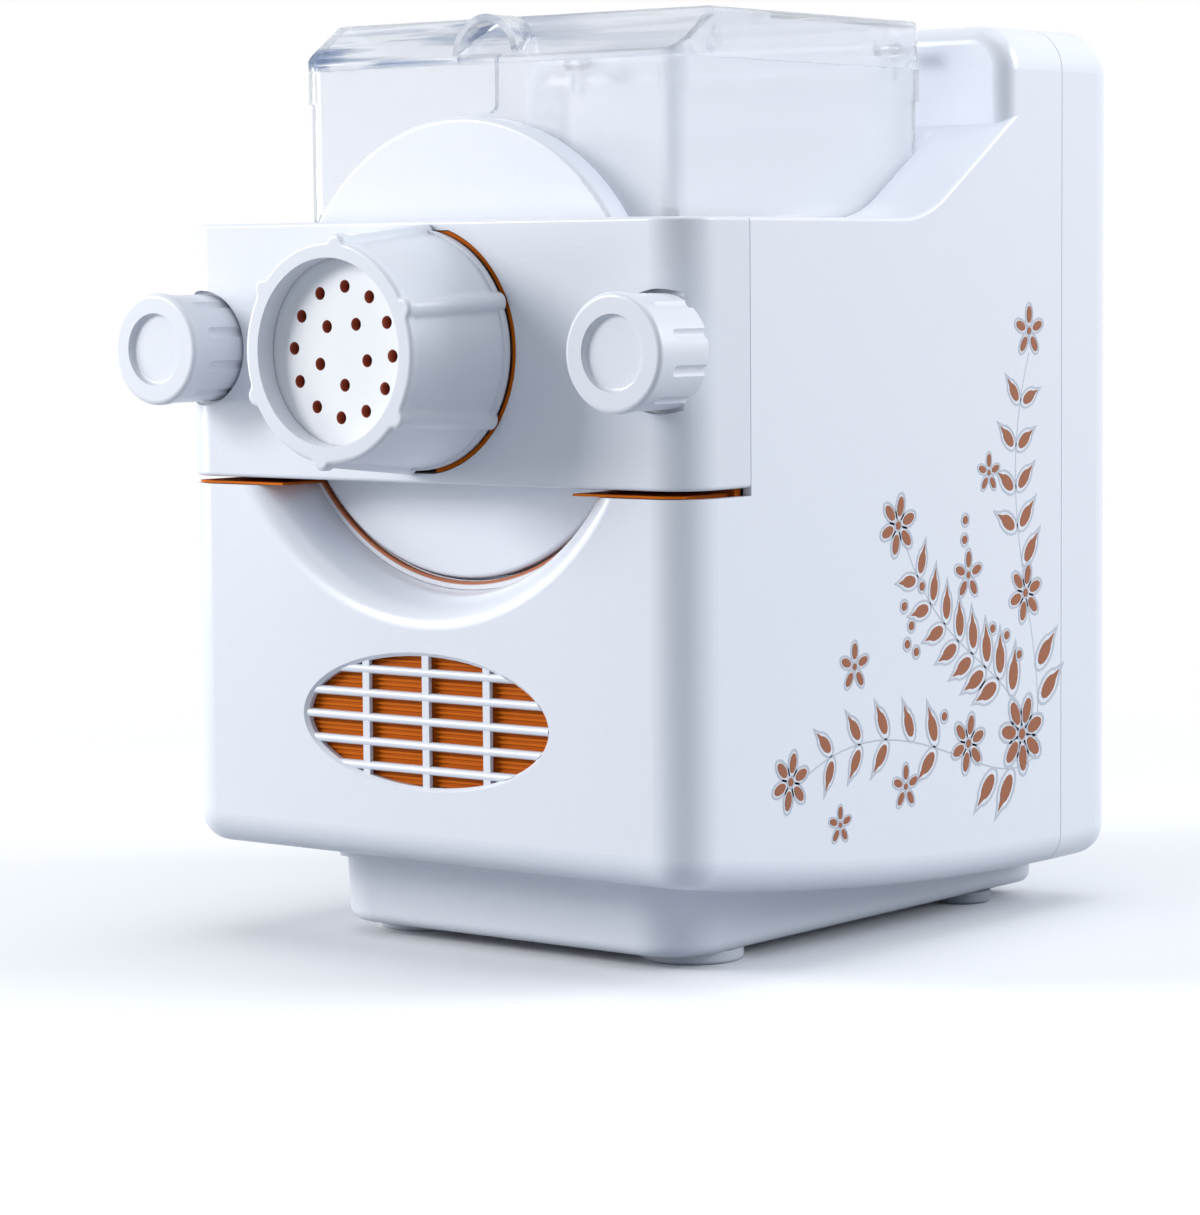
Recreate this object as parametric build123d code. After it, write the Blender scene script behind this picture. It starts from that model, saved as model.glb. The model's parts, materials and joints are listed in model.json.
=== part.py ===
from build123d import *
from math import acos, atan2, cos, pi, radians, sin, sqrt, tan
import os

# Electric pasta maker, in millimetres.  X runs across the machine, Y from the front to the back,
# Z upwards.  While it is built, y = 0 is the front plane of the housing and z = 0 is the table.

# Housing
body_width = 204.0
body_depth = 242.0
deck_height = 229.0
tower_height = 291.0
tower_depth = 70.6
ramp_length = 47.5
ramp_fillet = 45.0
tower_rise = 31.5
belly_front = 33.0
belly_middle = 21.0
belly_rear = 16.5
wall = 3.0
front_corner = 14.0
rear_corner = 16.0
belly_fillet = 10.0
tower_fillet = 14.0
tower_front_fillet = 6.0
deck_fillet = 1.2
cover_depth = 38.0
seam_gap = 0.3

# Mixing and extrusion axis
axis_height = 190.0
seat_gap = 0.3
fit_gap = 0.06

# Clamp bar across the front
clamp_bottom = 149.4
clamp_depth = 30.4
clamp_gap = 2.4
clamp_hole_radius = 38.0
ring_width = 22.0
lip_width = 1.2
lip_set_back = 0.3
pad_spacing = 12.0

# Bowl
trough_radius = 70.2
bay_clearance = 1.4
bowl_wall = 2.6
bowl_half_width = 74.2
bowl_front = 31.5
bowl_to_tower = 7.4
rim_height = 10.0
rim_step = 1.0
bowl_corner = 6.0
bowl_mouth_radius = 60.0
bowl_to_bay = 4.4

# Lid
lid_rise = 1.5
lid_height = 15.5
lid_front_slope = 19.0
lid_wall = 2.4
rear_lift = 2.7
rear_cut = 9.0
hinge_set_back = 4.0
hinge_rise = 4.3
hinge_radius = 1.5
lug_radius = 2.8
lug_width = 3.6
lug_from_side = 9.5
ear_width = 2.4
slot_count = 7
slot_pitch = 9.0
slot_width = 3.2
slot_length = 34.0
tongue_width = 15.0
tongue_drop = 15.0
grip_width = 26.0

# Front disc, die and cap
disc_radius = 70.8
disc_front = 19.5
disc_thickness = 9.0
gasket_thickness = 2.4
barrel_radius = 29.2
barrel_bore = 26.8
barrel_front = -27.2
thread_height = 1.3
thread_pitch = 4.0
thread_turns = 4
die_radius = 30.2
die_thickness = 7.0
die_hole_radius = 1.95
outer_hole_circle = 19.5
outer_hole_count = 12
inner_hole_circle = 9.8
inner_hole_count = 5
outer_hole_turn = -3.0
inner_hole_turn = 3.5
cap_front = -41.6
cap_rear = -1.0
cap_front_radius = 32.2
cap_rear_radius = 36.0
cap_mouth_radius = 28.0
cap_rib_count = 6
cap_rib_radius = 3.4
cap_rib_height = 2.2
cap_rib_root = 1.6
cap_rib_phase = 24.0
cap_flange_thickness = 3.2
cap_flange_rise = 0.9
cap_rim_width = 2.4
cap_rim_rise = 0.6

# Scoop round the front disc
scoop_gap = 3.7
scoop_flare = 11.0
scoop_seat = 2.5
scoop_edge = 1.5

# Clamp knobs and their studs
knob_offset = 91.0
knob_seat = 3.8
knob_seat_room = 0.7
knob_radius = 17.5
knob_flange = 3.4
knob_step = 0.5
knob_length = 23.5
knob_notch_count = 10
knob_notch_radius = 2.2
knob_notch_depth = 0.9
knob_notch_start = 6.0
knob_dish_radius = 11.3
knob_dish_depth = 1.8
stud_radius = 4.0
stud_front = -14.0
washer_radius = 9.5
washer_thickness = 1.2
insert_radius = 6.6
insert_length = 11.0

# Air grille
grille_height = 76.2
grille_half_width = 48.2
grille_half_height = 20.2
grille_bar = 2.7
grille_row_count = 5
grille_row_pitch = 7.5
grille_column_count = 3
grille_column_pitch = 24.2
grille_set_back = 0.5
grille_edge = 1.2
louvre_rib_count = 27
louvre_rib_depth = 0.5
louvre_slot_half = 30.0

# Plinth and feet
plinth_half_width = 76.0
plinth_front = 32.0
plinth_rear_inset = 3.0
plinth_corner = 22.0
plinth_rear_corner = 9.0
plinth_bottom = 4.0
plinth_taper = 1.5
plinth_lip = 2.0
plinth_lip_height = 2.6
plinth_fillet = 4.0
front_foot_radius = 16.0
front_foot_x = 54.0
front_foot_inset = 32.5
rear_foot_radius = 9.5
rear_foot_x = 62.0
rear_foot_inset = 33.0

# Mixer
shaft_radius = 6.0
auger_core = 9.0
auger_radius = 25.8
auger_pitch = 21.0
auger_turns = 2.0
auger_blade = 3.4
auger_front = -25.0
arm_reach = 63.0
arm_radius = 4.2
arm_count = 3
arm_turn = 30.0
paddle_width = 15.0
paddle_length = 22.0
hex_across = 9.6

# Gear train
motor_height = 73.0
pressure_angle = radians(25)
backlash = 0.16
first_module = 1.75
motor_pinion_teeth = 12
wheel_teeth = 52
second_module = 2.5
idler_pinion_teeth = 12
output_teeth = 38
wheel_thickness = 9.0
output_gear_thickness = 11.0
gear_spacing = 11.0
gearbox_end_room = 6.0
tower_to_plate = 4.0
plate_thickness = 2.5
plate_half_width = 56.0
plate_low_margin = 28.0
plate_high_margin = 68.0
plate_corner = 10.0
post_radius = 4.0
output_shaft_radius = 11.0
idler_axle_radius = 4.0
motor_shaft_radius = 4.0
bearing_wall = 5.0

# Motor
stator_radius = 35.0
mount_over_gap = 4.4
stator_length = 42.0
bell_radius = 32.0
bell_length = 20.0
rotor_radius = 17.0
air_gap = 0.8
fan_radius = 31.0
fan_front = 46.0
fan_thickness = 9.0
fan_blades = 9

# Controls
panel_half_width = 46.0
panel_depth = 20.0
panel_inset = 6.8
panel_thickness = 1.2
button_count = 3
button_pitch = 28.0
button_radius = 6.5
button_travel = 1.2
button_rise = 0.9
key_height = 1.3
board_thickness = 1.6
board_drop = 12.0
switch_drop = 35.5

# Screws and bosses
screw_radius = 1.9
screw_head_radius = 3.6
screw_head_height = 2.4
boss_radius = 4.6
cover_boss_low = 58.0
cover_boss_drop = 30.0
frame_boss_rise = 24.0
rib_thickness = 2.4

# Values worked out from those above
half_width = body_width / 2
tower_front = body_depth - tower_depth
ramp_start = tower_front - ramp_length
ramp_top = tower_height - tower_rise
cover_seam = body_depth - cover_depth
bowl_rear = tower_front - bowl_to_tower
lid_top = tower_height + lid_rise
bowl_height = lid_top - lid_height
bay_rear = bowl_rear + bowl_to_bay
hinge_y = bowl_rear - hinge_set_back
plinth_rear = body_depth - plinth_rear_inset
front_foot_y = plinth_front + front_foot_inset
rear_foot_y = plinth_rear - rear_foot_inset
panel_front = tower_front + panel_inset
panel_rear = panel_front + panel_depth
plate_front = tower_front + tower_to_plate
wheel_front = plate_front + plate_thickness + gearbox_end_room
output_gear_front = wheel_front + wheel_thickness + gear_spacing
plate_rear = output_gear_front + output_gear_thickness + gearbox_end_room
motor_spare = plate_front - fan_front - fan_thickness - stator_length - 2 * bell_length
fan_to_motor = (motor_spare - mount_over_gap) / 2
stator_front = fan_front + fan_thickness + fan_to_motor + bell_length
arm_pitch = (bowl_rear - bowl_front) / (arm_count + 1)
bay_radius = trough_radius + bay_clearance
bay_half_width = bowl_half_width + rim_step + 0.4
shoulder_height = deck_height + seat_gap
opening_bottom = clamp_bottom - clamp_gap
sill_top = opening_bottom + 0.9
lip_inset = 1.2
frame_front = clamp_depth - wall - seat_gap
frame_rear = clamp_depth - seat_gap
washer_rear = knob_seat - seat_gap
knob_rear = washer_rear - washer_thickness - seat_gap
knob_front = knob_rear - knob_length
knob_seat_radius = knob_radius + knob_seat_room
disc_rear = disc_front + disc_thickness
scoop_radius = disc_radius + scoop_gap
scoop_mouth = scoop_radius + scoop_flare
scoop_rear = disc_front + scoop_seat
scoop_block_radius = scoop_mouth + scoop_edge
scoop_block_depth = disc_front * 0.6
first_distance = first_module * (motor_pinion_teeth + wheel_teeth) / 2
second_distance = second_module * (idler_pinion_teeth + output_teeth) / 2
shaft_spacing = axis_height - motor_height
idler_rise = (first_distance**2 - second_distance**2 + shaft_spacing**2) / (2 * shaft_spacing)
idler_x = sqrt(first_distance**2 - idler_rise**2)
idler_height = motor_height + idler_rise
panel_top = tower_height
inner_top = tower_height - wall
board_top = inner_top - board_drop
middle_y = (body_depth + cap_front) / 2
hinge_z = bowl_height + lug_radius + hinge_rise


def box(x0, x1, y0, y1, z0, z1):
    """A block between two corners."""
    centre = Pos((x0 + x1) / 2, (y0 + y1) / 2, (z0 + z1) / 2)
    return centre * Box(x1 - x0, y1 - y0, z1 - z0)


def rod(radius, y0, y1, x=0.0, z=axis_height):
    """A round bar along Y."""
    return Pos(x, (y0 + y1) / 2, z) * Rot(90, 0, 0) * Cylinder(radius, y1 - y0)


def post(radius, z0, z1, x, y):
    """A round bar along Z."""
    return Pos(x, y, (z0 + z1) / 2) * Cylinder(radius, z1 - z0)


def cone(front_radius, rear_radius, y0, y1, x=0.0, z=axis_height):
    """A tapered bar along Y."""
    return Pos(x, (y0 + y1) / 2, z) * Rot(90, 0, 0) * Cone(rear_radius, front_radius, y1 - y0)


def slab(face, y0, y1):
    """A face drawn in X and Z, made solid from y0 to y1."""
    return extrude(Plane.XZ.offset(-y1) * face, amount=y1 - y0)


def both_sides(piece):
    """A piece and its mirror image across the machine."""
    return [piece, mirror(piece, about=Plane.YZ)]


def trough(radius, y0, y1, top):
    """A round-bottomed channel along Y, with straight sides up to a height."""
    return rod(radius, y0, y1) + box(-radius, radius, y0, y1, axis_height, top)


def group(pieces):
    """Separate solids kept together in one node."""
    return Compound(list(pieces))


def screw(x, y_head, z, length):
    """A screw along Y whose head is at the back."""
    shank = rod(screw_radius, y_head - length, y_head, x, z)
    head = rod(screw_head_radius, y_head, y_head + screw_head_height, x, z)
    slot = box(x - 2.4, x + 2.4, y_head + 1.2, y_head + screw_head_height + 1, z - 0.5, z + 0.5)
    return shank + head - slot


# ---------------------------------------------------------------- housing


def housing_block(inset):
    """The whole body's outer form, or the hollow inside it at a depth under the skin."""
    with BuildSketch(Plane.YZ) as outline:
        with BuildLine():
            Polyline(
                (0, belly_front),
                (0, deck_height),
                (ramp_start, deck_height),
                (tower_front, ramp_top),
                (tower_front, tower_height),
                (body_depth, tower_height),
                (body_depth, belly_rear),
            )
            ThreePointArc((body_depth, belly_rear), (body_depth * 0.4, belly_middle), (0, belly_front))
        make_face()
    face = outline.sketch
    start = face.vertices().filter_by(lambda v: abs(v.Y - ramp_start) < 1)
    face = fillet(start, ramp_fillet)
    if inset:
        face = offset(face, -inset, kind=Kind.INTERSECTION)
    block = extrude(face, amount=half_width - inset, both=True)
    uprights = block.edges().filter_by(Axis.Z)
    block = fillet(uprights.filter_by(lambda e: e.center().Y < wall + 1), front_corner - inset)
    uprights = block.edges().filter_by(Axis.Z)
    block = fillet(uprights.filter_by(lambda e: e.center().Y > cover_seam), rear_corner - inset)
    block = fillet(block.faces().sort_by(Axis.Z)[0].edges(), belly_fillet - inset)
    top = block.faces().sort_by(Axis.Z)[-1]
    front_edge = top.edges().sort_by(Axis.Y)[0]
    block = fillet(top.edges() - [front_edge], tower_fillet - inset)
    if inset < tower_front_fillet:
        block = fillet(tower_rim(block, inset), tower_front_fillet - inset)
    if not inset:
        block = fillet(deck_rim(block), deck_fillet)
    return block


def tower_rim(block, inset):
    """The outline of the tower's front face, apart from its foot between the ramps."""
    line = tower_front + inset
    edges = block.edges().filter_by(lambda e: all(abs(v.Y - line) < 0.01 for v in e.vertices()))
    return edges.filter_by(lambda e: e.center().Z > ramp_top + 1)


def deck_rim(block):
    """The outer edges of the deck and of both ramps, up to the tower."""
    low = deck_height - 0.5
    high = ramp_top + tower_front_fillet + 2
    edges = block.edges().filter_by(lambda e: all(low < v.Z < high for v in e.vertices()))
    return edges.filter_by(lambda e: abs(e.center().X) > half_width - 0.01 or e.center().Y < front_corner)


def scoop():
    """The hollow that the front disc looks out of: a trumpet that ends in the seat of the amber ring."""
    with BuildSketch(Plane.XY) as profile:
        with BuildLine():
            Polyline(
                (scoop_radius, disc_front), (scoop_radius, scoop_rear), (0, scoop_rear),
                (0, -1), (scoop_mouth, -1), (scoop_mouth, 0),
            )
            EllipticalCenterArc((scoop_mouth, disc_front), scoop_flare, disc_front, 180, arc_size=90)
        make_face()
    return Pos(0, 0, axis_height) * revolve(profile.sketch, axis=Axis.Y)


def grille_rows():
    """The height of each bar across the grille."""
    middle = (grille_row_count - 1) / 2
    return [grille_height + (row - middle) * grille_row_pitch for row in range(grille_row_count)]


def grille_bars():
    """Round-fronted bars across the oval air opening, joined by flat upright ones behind them."""
    half = grille_bar / 2
    reach = grille_half_width + 1
    round_y = grille_set_back + half
    rear = wall - grille_set_back
    bars = []
    for z in grille_rows():
        bars.append(Pos(0, round_y, z) * Rot(0, 90, 0) * Cylinder(half, 2 * reach))
        bars.append(box(-reach, reach, round_y, rear, z - half, z + half))
    for column in range(grille_column_count):
        x = (column - (grille_column_count - 1) / 2) * grille_column_pitch
        low = grille_height - grille_half_height - 1
        bars.append(box(x - half, x + half, 2 * grille_set_back, rear, low, low + 2 * grille_half_height + 2))
    oval = Pos(0, grille_height) * Ellipse(grille_half_width + 0.2, grille_half_height + 0.2)
    return (bars[0] + bars[1:]) & slab(oval, 0, rear)


def grille_opening():
    """The oval hole in the front wall, opening outwards along a slant edge."""
    oval = Pos(0, grille_height) * Ellipse(grille_half_width, grille_half_height)
    rim = Pos(0, grille_height) * Ellipse(grille_half_width + grille_edge, grille_half_height + grille_edge)
    slant = loft([Plane.XZ * rim, Plane.XZ.offset(-grille_edge) * oval])
    return slab(oval, -1, wall + 1) + slant


def bay_walls(skin):
    """The walls of the bay that the bowl drops into, cut to the body's outer form."""
    walls = trough(bay_radius + wall, 0, bay_rear + wall, deck_height)
    walls += rod(scoop_radius + wall, 0, scoop_rear + wall)
    walls += rod(scoop_block_radius, 0, scoop_block_depth)
    wide = bay_half_width + wall
    walls += box(-wide, wide, clamp_depth, bay_rear + wall, deck_height - wall, ramp_top)
    return walls & skin


def bay_hollow():
    """The space for the bowl, the front disc and everything above the deck."""
    hollow = trough(bay_radius, -1, bay_rear, deck_height + 1) + scoop()
    hollow += box(-bay_half_width, bay_half_width, -1, bay_rear, deck_height, tower_height)
    return hollow


def frame_boss_places():
    """Where the inner frame is screwed to the housing's sides, in X and Z."""
    x = half_width - wall - boss_radius + 1
    return [(side * x, z) for side in (-1, 1) for z in (axis_height - frame_boss_rise, axis_height + frame_boss_rise)]


def cover_boss_places():
    """Where the rear cover is screwed on, in X and Z."""
    x = half_width - rear_corner + 2
    return [(side * x, z) for side in (-1, 1) for z in (cover_boss_low, tower_height - cover_boss_drop)]


def gear_boss_places():
    """Where the gear plates are held, in X and Z."""
    x = plate_half_width - boss_radius - 4
    return [(side * x, z) for side in (-1, 1) for z in (axis_height - 42, axis_height + 55)]


def plinth_screw_places():
    """Where the plinth is screwed to the body, in X and Y."""
    x = plinth_half_width - 22
    return [(side * x, y) for side in (-1, 1) for y in (plinth_front + 60, plinth_rear - 50)]


def panel_pocket():
    """The shallow seat of the control panel in the top of the tower."""
    pocket = box(
        -panel_half_width, panel_half_width, panel_front, panel_rear, panel_top - panel_thickness, panel_top + 1
    )
    return fillet(pocket.edges().filter_by(Axis.Z), 5)


def button_places():
    """The middle of each button in X."""
    return [(n - (button_count - 1) / 2) * button_pitch for n in range(button_count)]


def panel_middle():
    """The line of the buttons in Y."""
    return (panel_front + panel_rear) / 2


def main_housing(skin, hollow):
    """The white moulding: front, sides, bay, deck, ramps and the front half of the tower."""
    shell = skin - hollow + bay_walls(skin) - bay_hollow()
    shell -= grille_opening()
    shell += grille_bars()
    for x, z in frame_boss_places():
        shell += rod(boss_radius, clamp_depth + seat_gap, clamp_depth + 16, x, z)
        shell -= rod(screw_radius, clamp_depth, clamp_depth + 13, x, z)
    for x, z in cover_boss_places():
        shell += rod(boss_radius, cover_seam - 30, cover_seam, x, z)
        outer = half_width - wall + 0.5
        low, high = sorted((x, outer if x > 0 else -outer))
        shell += box(low, high, cover_seam - 30, cover_seam, z - rib_thickness / 2, z + rib_thickness / 2)
        shell -= rod(screw_radius, cover_seam - 26, cover_seam + 1, x, z)
    for x, z in gear_boss_places():
        shell += rod(boss_radius, bay_rear + 1, plate_front - seat_gap, x, z)
    for x in (-panel_half_width + 6, panel_half_width - 6):
        shell += post(3, board_top, inner_top + 1, x, panel_middle())
    shell -= box(-half_width - 1, half_width + 1, -1, clamp_depth + seat_gap, opening_bottom, tower_height)
    shell -= box(-half_width - 1, half_width + 1, cover_seam, body_depth + 1, 0, tower_height + 1)
    shell -= rod(output_shaft_radius + 0.8, bay_rear - 1, bay_rear + wall + 4)
    shell -= panel_pocket()
    for x in button_places():
        shell -= post(button_radius + 0.4, inner_top - 1, panel_top, x, panel_middle())
    for x, y in plinth_screw_places():
        shell -= post(screw_radius + 0.3, 0, belly_front + wall, x, y)
    return shell


def rear_cover(skin, hollow):
    """The back of the machine: a shallow cup with air slots and the power socket's window."""
    cover = (skin - hollow) & box(
        -half_width - 1, half_width + 1, cover_seam + seam_gap, body_depth + 1, 0, tower_height + 1
    )
    for x, z in cover_boss_places():
        cover += rod(boss_radius + 1, cover_seam + seam_gap, body_depth - wall, x, z)
        cover -= rod(screw_radius + 0.3, cover_seam - 1, body_depth + 1, x, z)
        cover -= rod(screw_head_radius + 0.5, cover_seam + 5, body_depth + 1, x, z)
    for row in range(8):
        z = 120 + row * 9
        slot = box(-36, 36, body_depth - wall - 1, body_depth + 1, z - 1.6, z + 1.6)
        cover -= fillet(slot.edges().filter_by(Axis.Y), 1.5)
    cover -= box(*inlet_window())
    return cover


# ---------------------------------------------------------------- power inlet

inlet_x = -71.5
inlet_z = 92.0
inlet_half_width = 13.7
inlet_half_height = 10.3
inlet_depth = 24.0


def inlet_window():
    """The window in the rear cover that the inlet is pressed into."""
    return (
        inlet_x - inlet_half_width, inlet_x + inlet_half_width,
        body_depth - wall - 1, body_depth + 1,
        inlet_z - inlet_half_height, inlet_z + inlet_half_height,
    )


def power_inlet():
    """A three-pin appliance socket: a cup with its three blades."""
    fit = 0.2
    body = box(
        inlet_x - inlet_half_width + fit, inlet_x + inlet_half_width - fit,
        body_depth - inlet_depth, body_depth - 0.4,
        inlet_z - inlet_half_height + fit, inlet_z + inlet_half_height - fit,
    )
    cup = box(
        inlet_x - inlet_half_width + 2, inlet_x + inlet_half_width - 2,
        body_depth - inlet_depth + 3, body_depth,
        inlet_z - inlet_half_height + 2, inlet_z + inlet_half_height - 2,
    )
    cup = chamfer(cup.edges().filter_by(Axis.Y).sort_by(Axis.Z)[-2:], 4)
    body = fillet(body.edges().filter_by(Axis.Y), 1.5) - cup
    for x, z in ((0, 2.2), (-7, -2.2), (7, -2.2)):
        body += box(
            inlet_x + x - 1, inlet_x + x + 1, body_depth - inlet_depth + 1, body_depth - 6,
            inlet_z + z - 2, inlet_z + z + 2,
        )
    return body


# ---------------------------------------------------------------- inner frame and plinth


def inner_frame():
    """The amber frame behind the front: ring plate, sill under the clamp and baffle behind the grille."""
    edge = half_width - wall - 0.5
    top = deck_height - wall - seat_gap
    ring_hole = rod(bay_radius + wall + 0.4, frame_front - 1, frame_rear + 1)
    open_top = box(-bay_radius - wall, bay_radius + wall, frame_front - 1, frame_rear + 1, axis_height, top + 1)
    low = grille_height - grille_half_height - 7
    plate = box(-edge, edge, frame_front, frame_rear, low, top)
    plate -= ring_hole + open_top
    scoop_room = rod(scoop_block_radius + 0.4, -1, scoop_block_depth + 0.4)
    scoop_room += rod(scoop_radius + wall + 0.4, -1, frame_rear)
    sill = box(-edge + 2, edge - 2, wall + seat_gap, frame_front, sill_top - 2.6, sill_top) - scoop_room
    louvre_half = grille_half_width + 14
    louvre_rear = wall + seat_gap + louvre_rib_depth + 1.8
    brackets = box(-louvre_half, -louvre_half + 2.4, louvre_rear - 1, frame_front + 1, low, grille_height)
    frame = plate + sill + louvre(louvre_half, louvre_rear, low) + brackets + mirror(brackets, about=Plane.YZ)
    frame = frame & housing_block(wall + seat_gap)
    frame += sill_lip(edge - 2) + disc_trim()
    for x, z in frame_boss_places():
        frame -= rod(screw_radius + 0.2, frame_front - 1, frame_rear + 1, x, z)
    for side in (-1, 1):
        frame += rod(9, frame_front - 3, frame_rear, side * knob_offset) & box(
            -edge, edge, 0, frame_rear, 0, tower_height
        )
        frame -= rod(stud_radius + 0.05, 0, frame_rear + 1, side * knob_offset)
    return frame


def louvre(half, rear, low):
    """The amber baffle close behind the grille: fine ribs across it, and air slots behind the grille's bars."""
    front = wall + seat_gap
    top = grille_height + grille_half_height + 4
    sheet = box(-half, half, front + louvre_rib_depth, rear, low, top)
    pitch = grille_row_pitch / 5
    ribs = []
    for n in range(louvre_rib_count):
        z = grille_height + (n - (louvre_rib_count - 1) / 2) * pitch
        reach = grille_half_width + 1
        ribs.append(box(-reach, reach, front, front + louvre_rib_depth + 0.1, z - pitch / 4, z + pitch / 4))
    sheet += ribs
    for z in grille_rows():
        sheet -= box(-louvre_slot_half, louvre_slot_half, 0, rear + 1, z - 0.8, z + 0.8)
    return sheet


def sill_lip(half):
    """The thin amber strip that closes the gap under the clamp, out to the front skin."""
    lip = box(-half, half, 0, frame_front + 1, opening_bottom + 0.2, sill_top)
    return (lip & housing_block(lip_inset)) - rod(disc_radius + 1.2, -1, clamp_depth)


def disc_trim():
    """The amber ring at the bottom of the scoop, seen round the front disc's edge."""
    ring = rod(scoop_radius - 0.15, disc_front + 0.6, scoop_rear - 0.1) - rod(bay_radius + 0.3, 0, clamp_depth)
    return ring & box(-scoop_radius, scoop_radius, 0, clamp_depth, 0, sill_top)


def frame_screws():
    """Screws that hold the frame to the housing; their heads face the front."""
    screws = []
    for x, z in frame_boss_places():
        head = rod(screw_head_radius, frame_front - screw_head_height, frame_front, x, z)
        shank = rod(screw_radius, frame_front, clamp_depth + 12, x, z)
        slot = box(x - 2.4, x + 2.4, frame_front - 4, frame_front - 1.4, z - 0.5, z + 0.5)
        screws.append(head + shank - slot)
    return group(screws)


def clamp_studs():
    """The two studs that the knobs draw the clamp back on, each with its collar behind the frame."""
    stud = rod(stud_radius, stud_front, frame_rear + 2, knob_offset)
    collar = rod(stud_radius + 3, frame_rear, frame_rear + 4, knob_offset)
    stud = chamfer(stud.faces().sort_by(Axis.Y)[0].edges(), 0.8) + collar
    return group(both_sides(stud))


def plinth_outline(inset):
    """The plinth's outline seen from above, with wide front corners and tighter rear ones."""
    length = plinth_rear - plinth_front - 2 * inset
    face = Pos(0, (plinth_front + plinth_rear) / 2) * Rectangle(2 * (plinth_half_width - inset), length)
    face = fillet(face.vertices().sort_by(Axis.Y)[:2], plinth_corner - inset)
    return fillet(face.vertices().sort_by(Axis.Y)[-2:], plinth_rear_corner - inset)


def plinth_tub(inset, bottom):
    """A solid tub that narrows downwards, from the belly to its bottom."""
    low = Pos(0, 0, bottom) * plinth_outline(inset + plinth_taper)
    high = Pos(0, 0, belly_front + 2) * plinth_outline(inset)
    return loft([low, high])


def base_plinth(skin):
    """The tray that the body stands on: a tapered tub with a lip that follows the body's belly."""
    tub = plinth_tub(plinth_lip, plinth_bottom)
    tub = fillet(tub.faces().sort_by(Axis.Z)[0].edges(), plinth_fillet)
    inner = plinth_tub(plinth_lip + wall, plinth_bottom + wall)
    lip = extrude(Pos(0, 0, plinth_bottom) * plinth_outline(0), amount=belly_front) & (Pos(0, 0, -plinth_lip_height) * skin)
    tray = tub + lip - inner
    for x, y in plinth_screw_places():
        tray += post(boss_radius + 1, plinth_bottom + 1, belly_front, x, y)
    tray -= Pos(0, 0, -0.15) * skin
    for x, y in plinth_screw_places():
        tray -= post(screw_radius + 0.3, 0, belly_front, x, y)
        tray -= post(screw_head_radius + 0.4, 0, plinth_bottom + 5, x, y)
    return tray


def plinth_screws():
    """Screws driven up through the plinth into the body."""
    screws = []
    for x, y in plinth_screw_places():
        head = post(screw_head_radius, plinth_bottom + 5 - screw_head_height, plinth_bottom + 5, x, y)
        shank = post(screw_radius, plinth_bottom + 5, belly_middle + wall + 5, x, y)
        screws.append(head + shank)
    return group(screws)


def foot(radius, height, x, y):
    """A round foot with a soft lower edge."""
    pad = post(radius, 0, height, x, y)
    return fillet(pad.edges().sort_by(Axis.Z)[0], 1.2)


def front_feet():
    """The two wide pads under the front of the plinth."""
    return group(both_sides(foot(front_foot_radius, plinth_bottom, front_foot_x, front_foot_y)))


def rear_feet():
    """The two small rubber feet under the back of the plinth."""
    return group(both_sides(foot(rear_foot_radius, plinth_bottom, rear_foot_x, rear_foot_y)))


# ---------------------------------------------------------------- clamp and knobs


def clamp_hole(margin):
    """The hole that the barrel and its cap stand in: a circle with a flat above and below."""
    hole = rod(clamp_hole_radius + margin, -1, clamp_depth)
    flats = box(
        -half_width, half_width, -2, clamp_depth + 1,
        clamp_bottom + wall - margin, deck_height - wall + margin,
    )
    return hole & flats


def clamp_plate(skin, hollow):
    """The bar across the front: it continues the body's skin and presses the front disc home."""
    bar = skin & box(-half_width - 1, half_width + 1, -1, clamp_depth, clamp_bottom, deck_height + 1)
    bar = fillet(bar.faces().sort_by(Axis.Z)[0].edges().sort_by(Axis.Y)[0], deck_fillet)
    room = hollow & box(
        -half_width, half_width, wall, clamp_depth + 1, clamp_bottom + wall, deck_height - wall
    )
    bar = bar - room
    for side in (-1, 1):
        bar += rod(knob_seat_radius + wall, wall - 1, knob_seat + wall, side * knob_offset) & skin
        bar -= rod(knob_seat_radius, -1, knob_seat, side * knob_offset)
        bar += rod(8, knob_seat, disc_front - 3, side * knob_offset)
        bar -= rod(stud_radius + 0.6, -1, clamp_depth, side * knob_offset)
    bar -= clamp_hole(0)
    bar -= box(
        -half_width + wall, half_width - wall, frame_front - seat_gap, clamp_depth + 1,
        clamp_bottom - 1, clamp_bottom + wall + 0.1,
    )
    bar -= rod(disc_radius + 0.8, disc_front - seat_gap, clamp_depth + 1)
    for side in (-1, 1):
        rib = box(-1, 1, wall - 1, disc_front - 3, clamp_bottom + 1, deck_height - 1)
        bar += Pos(side * (clamp_hole_radius + ring_width + 4), 0, 0) * rib
    return bar


def pressure_pads():
    """The two amber pads inside the clamp that press the front disc; a thin lip of each lines the clamp's hole."""
    ring = rod(clamp_hole_radius + ring_width, wall + seat_gap, disc_front - seat_gap)
    ring += rod(clamp_hole_radius - seat_gap, lip_set_back, wall + 2 * seat_gap)
    ring -= rod(clamp_hole_radius - seat_gap - lip_width, -1, clamp_depth)
    ring -= box(-pad_spacing / 2, pad_spacing / 2, -1, clamp_depth, clamp_bottom, deck_height)
    low = clamp_bottom + wall + seat_gap
    high = deck_height - wall - seat_gap
    return ring & box(-half_width, half_width, 0, clamp_depth, low, high)


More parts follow.
